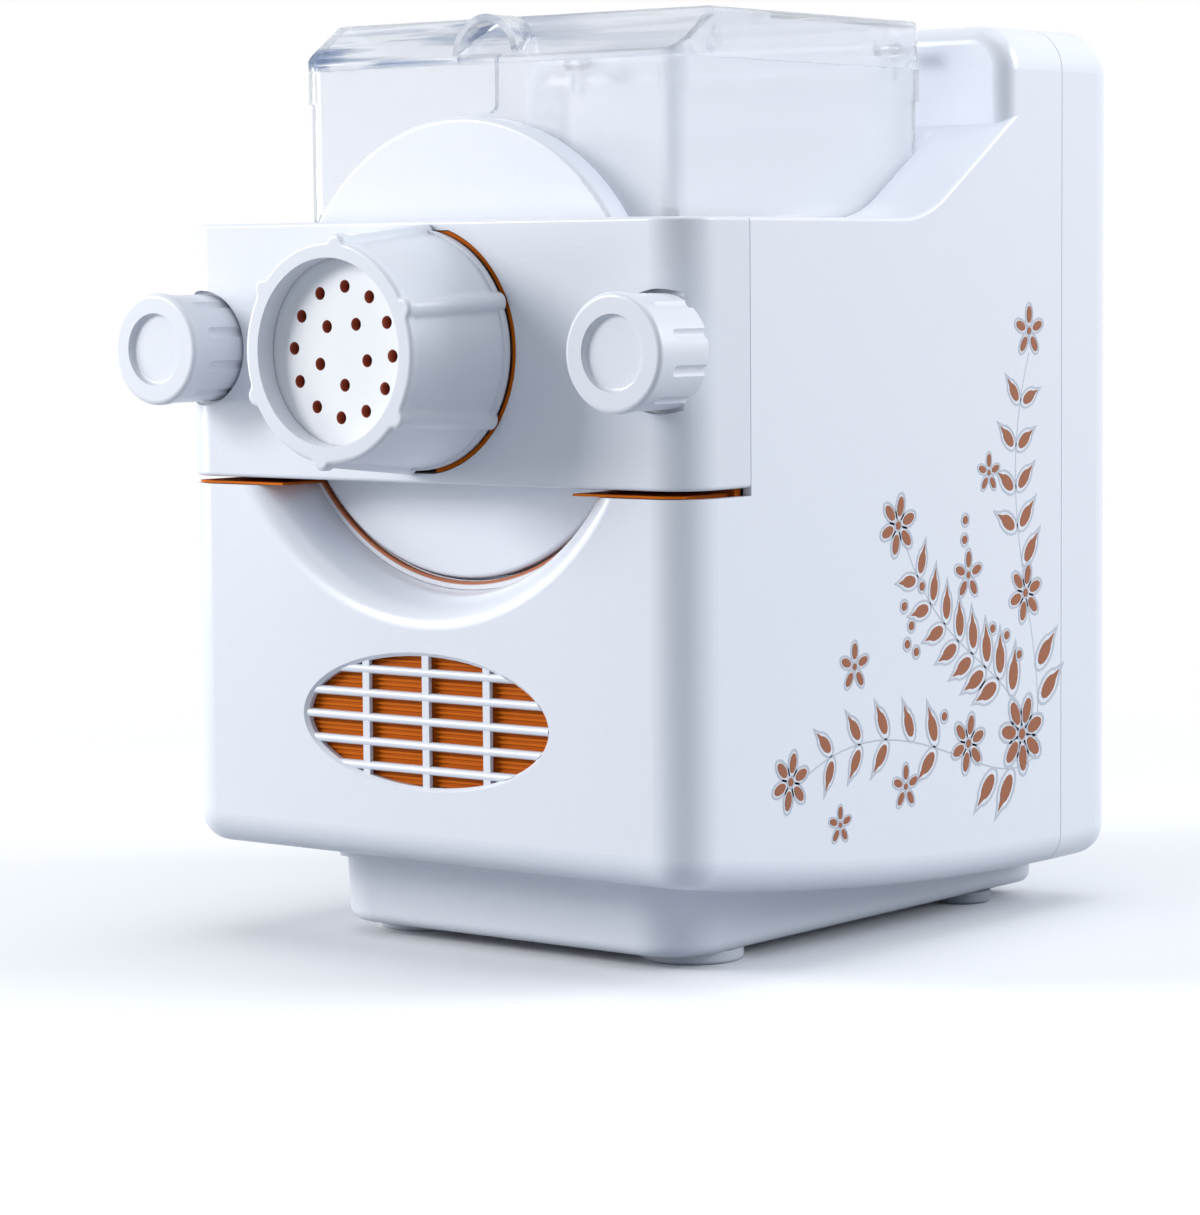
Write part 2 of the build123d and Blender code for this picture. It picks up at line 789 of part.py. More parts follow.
def knob(side):
    """A round clamp knob: flange with a dished face, and a barrel with notches from its rear edge."""
    x = side * knob_offset
    grip_radius = knob_radius - knob_step
    body = rod(grip_radius, knob_front + knob_flange, knob_rear, x)
    notch_front = knob_front + knob_flange + knob_notch_start
    reach = grip_radius - knob_notch_depth + knob_notch_radius
    for n in range(knob_notch_count):
        turn = 2 * pi * (n + 0.5) / knob_notch_count
        notch_x = x + reach * cos(turn)
        notch_z = axis_height + reach * sin(turn)
        body -= rod(knob_notch_radius, notch_front, knob_rear + 1, notch_x, notch_z)
        body -= Pos(notch_x, notch_front, notch_z) * Sphere(knob_notch_radius)
    flange = rod(knob_radius, knob_front, knob_front + knob_flange, x)
    body += fillet(flange.edges().sort_by(Axis.Y)[0], 1.5)
    dish = rod(knob_dish_radius, knob_front - 1, knob_front + knob_dish_depth, x)
    body -= fillet(dish.edges().sort_by(Axis.Y)[-1], 1.2)
    body -= rod(insert_radius, knob_rear - insert_length, knob_rear + 1, x)
    body -= rod(stud_radius + 0.6, stud_front - 1, knob_rear, x)
    return body


def knob_insert(side):
    """The brass nut moulded into a knob."""
    x = side * knob_offset
    nut = rod(insert_radius - 0.02, knob_rear - insert_length + 0.2, knob_rear, x)
    return nut - rod(stud_radius + fit_gap, -30, 10, x)


def knob_washer(side):
    """The steel washer between a knob and the clamp."""
    x = side * knob_offset
    ring = rod(washer_radius, washer_rear - washer_thickness, washer_rear, x)
    return ring - rod(stud_radius + fit_gap, -30, 10, x)


# ---------------------------------------------------------------- front disc, die and cap


def front_disc():
    """The round front of the bowl with the extrusion barrel and its screw thread."""
    plate = rod(disc_radius, disc_front, disc_rear)
    plate = fillet(plate.edges().sort_by(Axis.Y)[0], 1.6)
    plug = rod(bowl_mouth_radius - 0.5, disc_rear - 1, bowl_front + 2.4)
    plug -= rod(bowl_mouth_radius - 4, disc_rear, bowl_front + 5)
    barrel = rod(barrel_radius, barrel_front, disc_front + 1)
    for n in range(thread_turns):
        y = barrel_front + 2.5 + n * thread_pitch
        barrel += cone(barrel_radius, barrel_radius + thread_height, y, y + thread_pitch * 0.3)
        barrel += cone(barrel_radius + thread_height, barrel_radius, y + thread_pitch * 0.3, y + thread_pitch * 0.6)
    body = plate + plug + barrel
    return body - rod(barrel_bore, barrel_front - 1, bowl_front + 5)


def disc_gasket():
    """The soft ring between the front disc and the bowl."""
    ring = rod(bowl_mouth_radius + 7, disc_rear, disc_rear + gasket_thickness)
    return ring - rod(bowl_mouth_radius + 1, disc_rear - 1, bowl_front)


def die_plate():
    """The round-noodle die: a thick disc with a ring of holes and a smaller ring inside it."""
    front = barrel_front - seat_gap - die_thickness
    body = rod(die_radius, front, barrel_front - seat_gap)
    holes = []
    for count, circle, phase in (
        (outer_hole_count, outer_hole_circle, pi / 2 + radians(outer_hole_turn)),
        (inner_hole_count, inner_hole_circle, -pi / 2 + radians(inner_hole_turn)),
    ):
        for n in range(count):
            turn = phase + 2 * pi * n / count
            x = circle * cos(turn)
            z = axis_height + circle * sin(turn)
            holes.append(rod(die_hole_radius, front - 1, front + 4, x, z))
            holes.append(rod(die_hole_radius + 0.9, front + 3.5, barrel_front + 1, x, z))
    for hole in holes:
        body -= hole
    return body


def cap_outline(radius):
    """The cap's outline at one place: a circle with round ribs that run into it."""
    face = Circle(radius)
    for n in range(cap_rib_count):
        turn = radians(cap_rib_phase) + 2 * pi * n / cap_rib_count
        reach = radius + cap_rib_height - cap_rib_radius
        face += Pos(reach * cos(turn), reach * sin(turn)) * Circle(cap_rib_radius)
    return Pos(0, axis_height) * fillet(face.vertices(), cap_rib_root)


def die_cap():
    """The ribbed screw cap that holds the die against the barrel."""
    flange_rear = cap_front + cap_flange_thickness
    flange = slab(cap_outline(cap_front_radius + cap_flange_rise), cap_front, flange_rear)
    flange = fillet(flange.faces().sort_by(Axis.Y)[0].edges(), 1.4)
    front = Plane.XZ.offset(-flange_rear) * cap_outline(cap_front_radius)
    rear = Plane.XZ.offset(-cap_rear) * cap_outline(cap_rear_radius)
    cap = flange + loft([front, rear])
    cap += rod(cap_rear_radius + cap_rim_rise, cap_rear - cap_rim_width, cap_rear)
    lip_rear = barrel_front - 2 * seat_gap - die_thickness
    mouth = rod(cap_mouth_radius, cap_front - 1, cap_rear + 1)
    cap -= mouth
    cap -= rod(die_radius + 0.7, lip_rear, cap_rear + 1)
    crest = barrel_radius + thread_height + 0.35
    cap -= rod(crest, lip_rear + die_thickness, cap_rear + 1)
    for n in range(thread_turns):
        y = barrel_front + 2.5 + n * thread_pitch
        cap -= rod(crest + 0.7, y - 0.2, y + thread_pitch * 0.6 + 0.2)
    cap -= cone(crest, crest + 1.2, cap_rear - 3, cap_rear + 0.01)
    return cap


# ---------------------------------------------------------------- bowl and lid


def bowl_form(radius, half_wide, front, rear, step_height, top, corner):
    """A round-bottomed box that widens above the deck."""
    step = step_height + 0.5
    low = trough(radius, front, rear, step) & box(-radius, radius, front, rear, 0, step)
    high = box(-half_wide, half_wide, front, rear, step_height, top)
    high = fillet(high.edges().filter_by(Axis.Z), corner)
    return low + high


def hinge_lug_places():
    """The middle of each bowl lug in X, near the lid's rear corners."""
    x = bowl_half_width - lug_from_side - lug_width / 2
    return [-x, x]


def mixing_bowl():
    """The clear bowl: trough, shoulders on the deck, rim band, front mouth and hinge lugs."""
    outer = bowl_form(
        trough_radius, bowl_half_width, bowl_front, bowl_rear, shoulder_height, bowl_height, bowl_corner
    )
    rim = box(
        -bowl_half_width - rim_step, bowl_half_width + rim_step,
        bowl_front - rim_step, bowl_rear + rim_step,
        bowl_height - rim_height, bowl_height,
    )
    outer += fillet(rim.edges().filter_by(Axis.Z), bowl_corner + rim_step)
    inner = bowl_form(
        trough_radius - bowl_wall, bowl_half_width - bowl_wall,
        bowl_front + bowl_wall, bowl_rear - bowl_wall,
        shoulder_height + bowl_wall, bowl_height + 1, bowl_corner - bowl_wall,
    )
    bowl = outer - inner
    bowl -= rod(bowl_mouth_radius, bowl_front - 1, bowl_front + bowl_wall + 1)
    bowl += rod(shaft_radius + 6, bowl_rear - bowl_wall - 2, bowl_rear)
    bowl -= rod(shaft_radius + 3, bowl_rear - 9, bowl_rear + 1)
    half = lug_width / 2
    for x in hinge_lug_places():
        bowl += box(x - half, x + half, hinge_y - lug_radius, hinge_y + lug_radius, bowl_height - 3, hinge_z)
        bowl += hinge_rod(lug_radius, x - half, x + half)
        bowl -= hinge_rod(hinge_radius + fit_gap, x - half - 1, x + half + 1)
    return bowl


def shaft_seal():
    """The soft seal where the mixer's shaft leaves the bowl."""
    body = rod(shaft_radius + 3 - 0.02, bowl_rear - 8, bowl_rear + 1.2)
    return body - rod(shaft_radius + fit_gap, bowl_rear - 20, bowl_rear + 20)


def lid_form(inset):
    """The lid's outer form, sloping at the front, or the hollow under its skin."""
    z0 = bowl_height + seat_gap
    wide = bowl_half_width + 0.6
    bottom = z0 - 1 if inset else z0
    front = bowl_front - rim_step + inset * 1.3
    with BuildSketch(Plane.YZ) as outline:
        with BuildLine():
            Polyline(
                (front, bottom),
                (front, z0 + 1.5),
                (front + lid_front_slope, lid_top - inset),
                (bowl_rear - inset, lid_top - inset),
                (bowl_rear - inset, bottom),
                close=True,
            )
        make_face()
    form = extrude(outline.sketch, amount=wide - inset, both=True)
    return fillet(form.edges().filter_by(Axis.Z), bowl_corner - inset)


def hinge_rod(radius, x0, x1):
    """A round bar on the lid's hinge line."""
    return Pos((x0 + x1) / 2, hinge_y, hinge_z) * Rot(0, 90, 0) * Cylinder(radius, x1 - x0)


def lid():
    """The clear lid: a shallow sloping cover with pour slots, a front tongue and a finger grip."""
    outer = lid_form(0)
    outer = fillet(outer.faces().sort_by(Axis.Z)[-1].edges(), 1.6)
    cover = outer - lid_form(lid_wall)
    cover -= box(
        -half_width, half_width, bowl_rear - rear_cut, bowl_rear + 1,
        bowl_height, bowl_height + rear_lift,
    )
    middle = (bowl_front + bowl_rear) / 2
    for n in range(slot_count):
        x = (n - (slot_count - 1) / 2) * slot_pitch
        slot = box(
            x - slot_width / 2, x + slot_width / 2, middle - slot_length / 2, middle + slot_length / 2,
            lid_top - lid_wall - 1, lid_top + 1,
        )
        cover -= fillet(slot.edges().filter_by(Axis.Z), slot_width / 2 - 0.1)
    for x in hinge_lug_places():
        half = lug_width / 2
        room = half + seat_gap
        cover -= box(x - room, x + room, hinge_y - 5, bowl_rear + 1, bowl_height, lid_top - lid_wall)
        for low, high in ((x - room - ear_width, x - room), (x + room, x + room + ear_width)):
            cover += box(low, high, hinge_y - lug_radius, hinge_y + lug_radius, hinge_z, lid_top - 1)
            cover += hinge_rod(lug_radius, low, high)
        cover -= hinge_rod(hinge_radius - 0.01, x - room - ear_width, x + room + ear_width)
    return cover + lid_tongue() + finger_grip()


def lid_tongue():
    """The flat tongue that hangs from the lid over the bowl's front."""
    front = bowl_front - rim_step
    half = tongue_width / 2
    tongue = box(-half, half, front - 2.2, front - seat_gap, bowl_height - tongue_drop, bowl_height + 3)
    tongue = fillet(tongue.edges().filter_by(Axis.Y).sort_by(Axis.Z)[:2], 3)
    return tongue + box(-half, half, front - 2.2, front + 2, bowl_height + seat_gap, bowl_height + 3)


def finger_grip():
    """The low arch on the lid's slope that a finger lifts."""
    front = bowl_front - rim_step
    rear = front + lid_front_slope * 0.7
    arch = rod(grip_width / 2, front + 2, rear, 0, 0) - rod(grip_width / 2 - 2.2, 0, body_depth, 0, 0)
    room = box(-grip_width, grip_width, front, body_depth, bowl_height + 2.5, lid_top)
    return (Pos(0, 0, lid_top - grip_width / 2) * arch) & room


def hinge_pins():
    """The two pins that the lid turns on."""
    reach = lug_width / 2 + seat_gap + ear_width
    return group(hinge_rod(hinge_radius - 0.01, x - reach, x + reach) for x in hinge_lug_places())


# ---------------------------------------------------------------- mixer


def mixer():
    """The stirring shaft: hexagon drive, three paddle arms and the screw that feeds the die."""
    core = rod(shaft_radius, bowl_front, bowl_rear + 1.4)
    core += rod(auger_core, auger_front, bowl_front + 1)
    core += cone(auger_core, shaft_radius, bowl_front + 1, bowl_front + 12)
    hexagon = Pos(0, axis_height) * RegularPolygon(hex_across / 2, 6, major_radius=False)
    core += slab(hexagon, bowl_rear + 1, bay_rear + 8)
    for n in range(arm_count):
        y = bowl_front + (n + 1) * arm_pitch
        turn = (n - (arm_count - 1) / 2) * arm_turn
        arm = Rot(0, 90, 0) * Cylinder(arm_radius, 2 * arm_reach - 4)
        blade = Pos(arm_reach - paddle_length / 2, 0, 0) * (
            Rot(20, 0, 0) * Box(paddle_length, paddle_width, 3)
        )
        blade = fillet(blade.edges().filter_by(lambda e: e.length < 3.2), 1.2)
        arm = arm + blade + Rot(0, 180, 0) * blade + Rot(90, 0, 0) * Cylinder(shaft_radius + 3, 14)
        core += Pos(0, y, axis_height) * (Rot(0, -turn, 0) * arm)
    return core + auger_flight()


def auger_flight():
    """One screw blade around the shaft's front end."""
    length = auger_pitch * auger_turns
    helix = Helix(pitch=auger_pitch, height=length, radius=auger_core - 1)
    outer = auger_radius
    with BuildSketch(Plane.XZ) as profile:
        with BuildLine():
            Polyline(
                (auger_core - 1, -auger_blade * 0.7),
                (outer, -auger_blade * 0.35),
                (outer, auger_blade * 0.35),
                (auger_core - 1, auger_blade * 0.7),
                close=True,
            )
        make_face()
    blade = sweep(profile.sketch, path=helix, is_frenet=True)
    start = auger_front + auger_blade
    return Pos(0, start, axis_height) * (Rot(-90, 0, 0) * blade)


# ---------------------------------------------------------------- gear train


def gear(teeth, module, x, z, y0, thickness, phase):
    """A spur gear on a Y axis; phase is the angle of one tooth's middle."""
    pitch = module * teeth / 2
    base = pitch * cos(pressure_angle)
    tip = pitch + module
    root = pitch - 1.25 * module
    involute = tan(pressure_angle) - pressure_angle
    half_tooth = pi / (2 * teeth) - backlash / (2 * pitch)

    def half_angle(radius):
        if radius <= base:
            return half_tooth + involute
        opening = acos(base / radius)
        return half_tooth + involute - (tan(opening) - opening)

    radii = [root, max(base, root + 0.1), (max(base, root) + tip) / 2, tip]
    points = []
    for n in range(teeth):
        middle = phase + 2 * pi * n / teeth
        for radius in radii:
            angle = middle - half_angle(radius)
            points.append((x + radius * cos(angle), z + radius * sin(angle)))
        for radius in reversed(radii):
            angle = middle + half_angle(radius)
            points.append((x + radius * cos(angle), z + radius * sin(angle)))
    return slab(make_face(Polyline(*points, close=True)), y0, y0 + thickness)


def motor_to_idler():
    """The direction from the motor's axis to the idler's."""
    return atan2(idler_rise, idler_x)


def idler_to_output():
    """The direction from the idler's axis to the output's."""
    return atan2(axis_height - idler_height, -idler_x)


def output_gear():
    """The last and largest gear, with a web and a hub."""
    phase = idler_to_output() + pi + pi / output_teeth
    wheel = gear(output_teeth, second_module, 0, axis_height, output_gear_front, output_gear_thickness, phase)
    rim = second_module * output_teeth / 2 - 1.25 * second_module - 4
    ring = rod(rim, output_gear_front - 1, output_gear_front + 3.5) - rod(18, output_gear_front - 2, body_depth)
    wheel -= ring
    hub = rod(17, output_gear_front - 6, output_gear_front + output_gear_thickness)
    return wheel + hub - rod(output_shaft_radius + 0.01, 0, body_depth)


def output_shaft():
    """The steel shaft that turns the mixer, with a hexagon socket in its front end."""
    front = bay_rear - 1.4
    shaft = rod(output_shaft_radius, front, plate_rear + plate_thickness + 2)
    socket = Pos(0, axis_height) * RegularPolygon(hex_across / 2 + 0.35, 6, major_radius=False)
    return shaft - slab(socket, front - 1, bay_rear + 9)


def idler_wheel():
    """The large first-stage wheel on the idler axle."""
    phase = motor_to_idler() + pi + pi / wheel_teeth
    wheel = gear(wheel_teeth, first_module, idler_x, idler_height, wheel_front, wheel_thickness, phase)
    lightening = rod(37, wheel_front - 1, wheel_front + 3, idler_x, idler_height)
    lightening -= rod(13, wheel_front - 2, wheel_front + 4, idler_x, idler_height)
    wheel -= lightening
    return wheel - rod(idler_axle_radius + 0.01, 0, body_depth, idler_x, idler_height)


def idler_pinion():
    """The small second-stage gear beside the wheel."""
    front = wheel_front + wheel_thickness
    length = output_gear_front + output_gear_thickness + 1 - front
    body = gear(
        idler_pinion_teeth, second_module, idler_x, idler_height, front, length, idler_to_output()
    )
    return body - rod(idler_axle_radius + 0.01, 0, body_depth, idler_x, idler_height)


def idler_axle():
    """The axle that the idler gears are pressed on."""
    return rod(idler_axle_radius, plate_front - 1, plate_rear + plate_thickness + 1, idler_x, idler_height)


def motor_pinion():
    """The small gear on the motor's shaft."""
    body = gear(
        motor_pinion_teeth, first_module, 0, motor_height, wheel_front - 1, wheel_thickness + 2, motor_to_idler()
    )
    return body - rod(motor_shaft_radius + 0.01, 0, body_depth, 0, motor_height)


def gear_plate(y0):
    """One of the two steel plates between which the gears turn."""
    low = motor_height - plate_low_margin
    high = axis_height + plate_high_margin
    plate = box(-plate_half_width, plate_half_width, y0, y0 + plate_thickness, low, high)
    plate = fillet(plate.edges().filter_by(Axis.Y), plate_corner)
    bearing = output_shaft_radius + bearing_wall
    plate -= rod(bearing + 0.01, y0 - 1, y0 + plate_thickness + 1)
    bush = idler_axle_radius + 3
    plate -= rod(bush + 0.01, y0 - 1, y0 + plate_thickness + 1, idler_x, idler_height)
    plate -= rod(motor_shaft_radius + 4, y0 - 1, y0 + plate_thickness + 1, 0, motor_height)
    return plate


def gear_plate_front():
    """The plate nearer the bowl."""
    return gear_plate(plate_front)


def gear_plate_rear():
    """The plate nearer the back."""
    return gear_plate(plate_rear)


def gear_posts():
    """The spacers that hold the two plates apart."""
    places = [(side * (plate_half_width - 8), z) for side in (-1, 1)
              for z in (motor_height - plate_low_margin + plate_corner, axis_height + plate_high_margin - plate_corner)]
    front = plate_front + plate_thickness
    return group(rod(post_radius, front, plate_rear, x, z) for x, z in places)


def output_bearings():
    """The two bearings of the output shaft, one in each plate."""
    rings = []
    for y in (plate_front, plate_rear):
        ring = rod(output_shaft_radius + bearing_wall, y - 1.5, y + plate_thickness)
        rings.append(ring - rod(output_shaft_radius + fit_gap, y - 3, y + 20))
    return group(rings)


def idler_bushes():
    """The two bronze bushes of the idler axle."""
    rings = []
    for y in (plate_front, plate_rear):
        ring = rod(idler_axle_radius + 3, y - 0.5, y + plate_thickness + 1, idler_x, idler_height)
        rings.append(ring - rod(idler_axle_radius + fit_gap, y - 3, y + 20, idler_x, idler_height))
    return group(rings)


# ---------------------------------------------------------------- motor


def motor_stator():
    """The laminated stator, with four flats and its bore."""
    end = stator_front + stator_length
    core = rod(stator_radius, stator_front, end, 0, motor_height)
    flat = stator_radius * 0.93
    core = core & box(-flat, flat, stator_front, end, motor_height - flat, motor_height + flat)
    return core - rod(rotor_radius + air_gap, 0, body_depth, 0, motor_height)


def motor_bell(y0, y1, inner_end):
    """One end bell of the motor; inner_end is the side that faces the stator."""
    bell = rod(bell_radius, y0, y1, 0, motor_height)
    if inner_end == y1:
        bell -= rod(bell_radius - 3, y0 + 3, y1 + 1, 0, motor_height)
    else:
        bell -= rod(bell_radius - 3, y0 - 1, y1 - 3, 0, motor_height)
    for n in range(6):
        turn = pi / 3 * n
        x = 19 * cos(turn)
        z = motor_height + 19 * sin(turn)
        bell -= rod(4, y0 - 1, y1 + 1, x, z)
    return bell - rod(motor_shaft_radius + fit_gap, y0 - 1, y1 + 1, 0, motor_height)


def motor_bells():
    """The two end bells that carry the rotor."""
    front = motor_bell(stator_front - bell_length, stator_front, stator_front)
    end = stator_front + stator_length
    return group([front, motor_bell(end, end + bell_length, end)])


def motor_rotor():
    """The rotor's iron on its shaft."""
    core = rod(rotor_radius, stator_front + 2, stator_front + stator_length - 2, 0, motor_height)
    return core + rod(motor_shaft_radius, fan_front - 2, wheel_front + wheel_thickness + 3, 0, motor_height)


def cooling_fan():
    """The fan behind the grille: a hub, a back disc and flat blades."""
    fan = rod(9, fan_front, fan_front + fan_thickness, 0, motor_height)
    fan += rod(fan_radius, fan_front + fan_thickness - 1.5, fan_front + fan_thickness, 0, motor_height)
    for n in range(fan_blades):
        blade = box(7, fan_radius, fan_front, fan_front + fan_thickness, -0.8, 0.8)
        fan += Pos(0, 0, motor_height) * (Rot(0, 360 / fan_blades * n, 0) * blade)
    return fan - rod(motor_shaft_radius + 0.01, 0, body_depth, 0, motor_height)


def motor_saddles():
    """The two saddles that the stator lies in, standing on the body's floor."""
    saddles = []
    for y in (stator_front + 8, stator_front + stator_length - 14):
        saddle = box(-26, 26, y, y + 6, belly_middle + wall + 0.2, motor_height - 18)
        saddle -= rod(stator_radius + seat_gap, 0, body_depth, 0, motor_height)
        saddles.append(saddle)
    return group(saddles)


def motor_mount_tube():
    """The bracket between the motor's rear bell and the front gear plate."""
    rear = stator_front + stator_length + bell_length
    tube = rod(14, rear + 0.2, plate_front - 0.2, 0, motor_height)
    return tube - rod(motor_shaft_radius + 2, 0, body_depth, 0, motor_height)


# ---------------------------------------------------------------- controls


def control_panel():
    """The thin panel let into the top of the tower."""
    plate = box(
        -panel_half_width + 0.3, panel_half_width - 0.3, panel_front + 0.3, panel_rear - 0.3,
        panel_top - panel_thickness + 0.02, panel_top - 0.1,
    )
    plate = fillet(plate.edges().filter_by(Axis.Z), 4.7)
    for x in button_places():
        plate -= post(button_radius + 0.4, panel_top - 5, panel_top + 1, x, panel_middle())
    return plate


def button(x):
    """One push button: a low cap on a stem that reaches down to the board."""
    cap = post(button_radius, inner_top, panel_top + button_rise, x, panel_middle())
    cap = fillet(cap.edges().sort_by(Axis.Z)[-1], 0.6)
    stem = post(2.6, board_top + key_height + button_travel + seat_gap, inner_top + 1, x, panel_middle())
    return cap + stem


def control_board():
    """The circuit board under the panel, with its key switches and a relay."""
    board = box(
        -panel_half_width + 2, panel_half_width - 2, panel_front, panel_rear,
        board_top - board_thickness, board_top - 0.02,
    )
    for x in button_places():
        board += box(x - 3, x + 3, panel_middle() - 3, panel_middle() + 3, board_top - 0.5, board_top + key_height)
    board += box(-9, 9, panel_front + 2, panel_front + 12, board_top - 16, board_top - 1)
    return board


def bowl_switch():
    """The safety switch that feels whether the bowl is in place."""
    x = 46
    z = ramp_top - switch_drop
    body = box(x - 9, x + 9, bay_rear + wall + 0.2, plate_front - seat_gap, z - 5, z + 5)
    return body - rod(1.6, 0, body_depth, x - 6, z) - rod(1.6, 0, body_depth, x + 6, z)


def cover_screws():
    """The screws of the rear cover, deep in their wells."""
    return group(screw(x, cover_seam + 5, z, 26) for x, z in cover_boss_places())


def save(name, shape):
    """Write one node, moved so that the origin is under the middle of the machine."""
    export_step(Pos(0, -middle_y, 0) * shape, "parts/" + name + ".step")


os.makedirs("parts", exist_ok=True)
skin = housing_block(0)
hollow = housing_block(wall)

save("main_housing", main_housing(skin, hollow))
save("rear_cover", rear_cover(skin, hollow))
save("power_inlet", power_inlet())
save("inner_frame", inner_frame())
save("frame_screws", frame_screws())
save("clamp_studs", clamp_studs())
save("base_plinth", base_plinth(skin))
save("plinth_screws", plinth_screws())
save("front_feet", front_feet())
save("rear_feet", rear_feet())
save("clamp_plate", clamp_plate(skin, hollow))
save("pressure_pads", pressure_pads())
for side_name, side in (("left", -1), ("right", 1)):
    save("knob_" + side_name, knob(side))
    save("knob_insert_" + side_name, knob_insert(side))
    save("knob_washer_" + side_name, knob_washer(side))
save("front_disc", front_disc())
save("disc_gasket", disc_gasket())
save("die_plate", die_plate())
save("die_cap", die_cap())
save("mixing_bowl", mixing_bowl())
save("shaft_seal", shaft_seal())
save("lid", lid())
save("hinge_pins", hinge_pins())
save("mixer", mixer())
save("output_gear", output_gear())
save("output_shaft", output_shaft())
save("idler_wheel", idler_wheel())
save("idler_pinion", idler_pinion())
save("idler_axle", idler_axle())
save("motor_pinion", motor_pinion())
save("gear_plate_front", gear_plate_front())
save("gear_plate_rear", gear_plate_rear())
save("gear_posts", gear_posts())
save("output_bearings", output_bearings())
save("idler_bushes", idler_bushes())
save("motor_stator", motor_stator())
save("motor_bells", motor_bells())
save("motor_rotor", motor_rotor())
save("cooling_fan", cooling_fan())
save("motor_saddles", motor_saddles())
save("motor_mount_tube", motor_mount_tube())
save("control_panel", control_panel())
for number, x in enumerate(button_places(), 1):
    save("button_" + str(number), button(x))
save("control_board", control_board())
save("bowl_switch", bowl_switch())
save("cover_screws", cover_screws())
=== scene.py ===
# %% [markdown]
# An electric pasta maker, dressed in Blender. Every solid keeps its place and its shape. This file
# gives each of them its finish, then adds the printed ornament, the light and the camera.

# %% Load the frame
import json
from math import atan2, cos, hypot, pi, radians, sin

import bmesh
import bpy
from mathutils import Matrix, Vector


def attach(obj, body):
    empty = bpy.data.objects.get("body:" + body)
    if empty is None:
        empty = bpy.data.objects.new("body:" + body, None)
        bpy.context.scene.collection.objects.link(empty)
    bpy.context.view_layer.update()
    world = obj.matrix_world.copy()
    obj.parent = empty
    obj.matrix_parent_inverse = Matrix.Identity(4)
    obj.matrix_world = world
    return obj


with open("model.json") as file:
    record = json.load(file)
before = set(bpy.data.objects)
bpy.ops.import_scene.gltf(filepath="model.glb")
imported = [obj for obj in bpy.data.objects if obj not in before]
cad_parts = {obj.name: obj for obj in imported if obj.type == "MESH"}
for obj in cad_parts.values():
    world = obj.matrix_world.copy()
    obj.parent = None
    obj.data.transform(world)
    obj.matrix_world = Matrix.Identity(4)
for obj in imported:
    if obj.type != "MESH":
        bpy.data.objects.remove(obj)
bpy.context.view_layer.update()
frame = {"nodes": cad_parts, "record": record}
nodes = frame["nodes"]
print("solids loaded:", len(nodes))

# %% [markdown]
# The floor is one round sheet. It could be a plane that reaches the horizon, but a round sheet can
# thin out evenly all round. Its finish, near the end of this file, lets it fade into the white sky.
# An operator acts on all that is selected, so everything is let go before a new piece is made.

# %% Floor
def deselect():
    """Leave edit mode and let go of every object."""
    if bpy.context.object and bpy.context.object.mode != "OBJECT":
        bpy.ops.object.mode_set(mode="OBJECT")
    bpy.ops.object.select_all(action="DESELECT")


floor_radius = 1.2
deselect()
bpy.ops.mesh.primitive_circle_add(vertices=96, radius=floor_radius, fill_type="NGON")
floor = bpy.context.object
floor.name = "floor"
print("floor:", floor.name, "radius", floor_radius, "m")

# %% [markdown]
# The camera stands to the right of the machine, a little above the middle, with a long lens.
# A long lens from more than a metre away keeps upright edges upright, as catalogue pictures do.
# Its three axes are worked out from a turn about the upright, a tilt downwards and a slight roll.

# %% Camera
camera_turn = radians(38.18)
camera_place = Vector((0.7866, -1.0127, 0.2136))
camera_tilt = radians(4.869)
camera_roll = radians(-0.458)
camera_lens = 117.29
ahead = Vector((-sin(camera_turn) * cos(camera_tilt), cos(camera_turn) * cos(camera_tilt),
                -sin(camera_tilt)))
level = Vector((cos(camera_turn), sin(camera_turn), 0))
upward = level.cross(ahead)
across = level * cos(camera_roll) + upward * sin(camera_roll)
above = upward * cos(camera_roll) - level * sin(camera_roll)
camera_data = bpy.data.cameras.new("camera")
camera_data.lens = camera_lens
camera_data.sensor_width = 36
camera_data.clip_end = 60
camera = bpy.data.objects.new("camera", camera_data)
bpy.context.scene.collection.objects.link(camera)
axes = Matrix((across, above, -ahead)).transposed().to_4x4()
camera.matrix_world = Matrix.Translation(camera_place) @ axes
bpy.context.scene.camera = camera
print("camera distance:", round(camera_place.length, 3), "m")

# %% [markdown]
# The light. A white machine before white is drawn by its shades alone, so the lights leave one side
# of each round corner dark. The key light stands close, to the left of the front, and casts the
# soft shadow of the cap. A small low light from the same side reaches under the body to the plinth.
# A wide panel behind the right side lights that side, and a broad sun from above lights what faces
# upwards. A lamp shines along its own minus Z, so its Z is turned to point away from the machine.

# %% Lights
machine_middle = Vector((0, 0, 0.15))


def panel_light(name, toward, distance, size, power, colour):
    """A square soft light that looks at the middle of the machine."""
    data = bpy.data.lights.new(name, "AREA")
    data.shape = "SQUARE"
    data.size = size
    data.energy = power
    data.color = colour
    lamp = bpy.data.objects.new(name, data)
    direction = Vector(toward).normalized()
    lamp.location = machine_middle + direction * distance
    lamp.rotation_euler = direction.to_track_quat("Z", "Y").to_euler()
    bpy.context.scene.collection.objects.link(lamp)


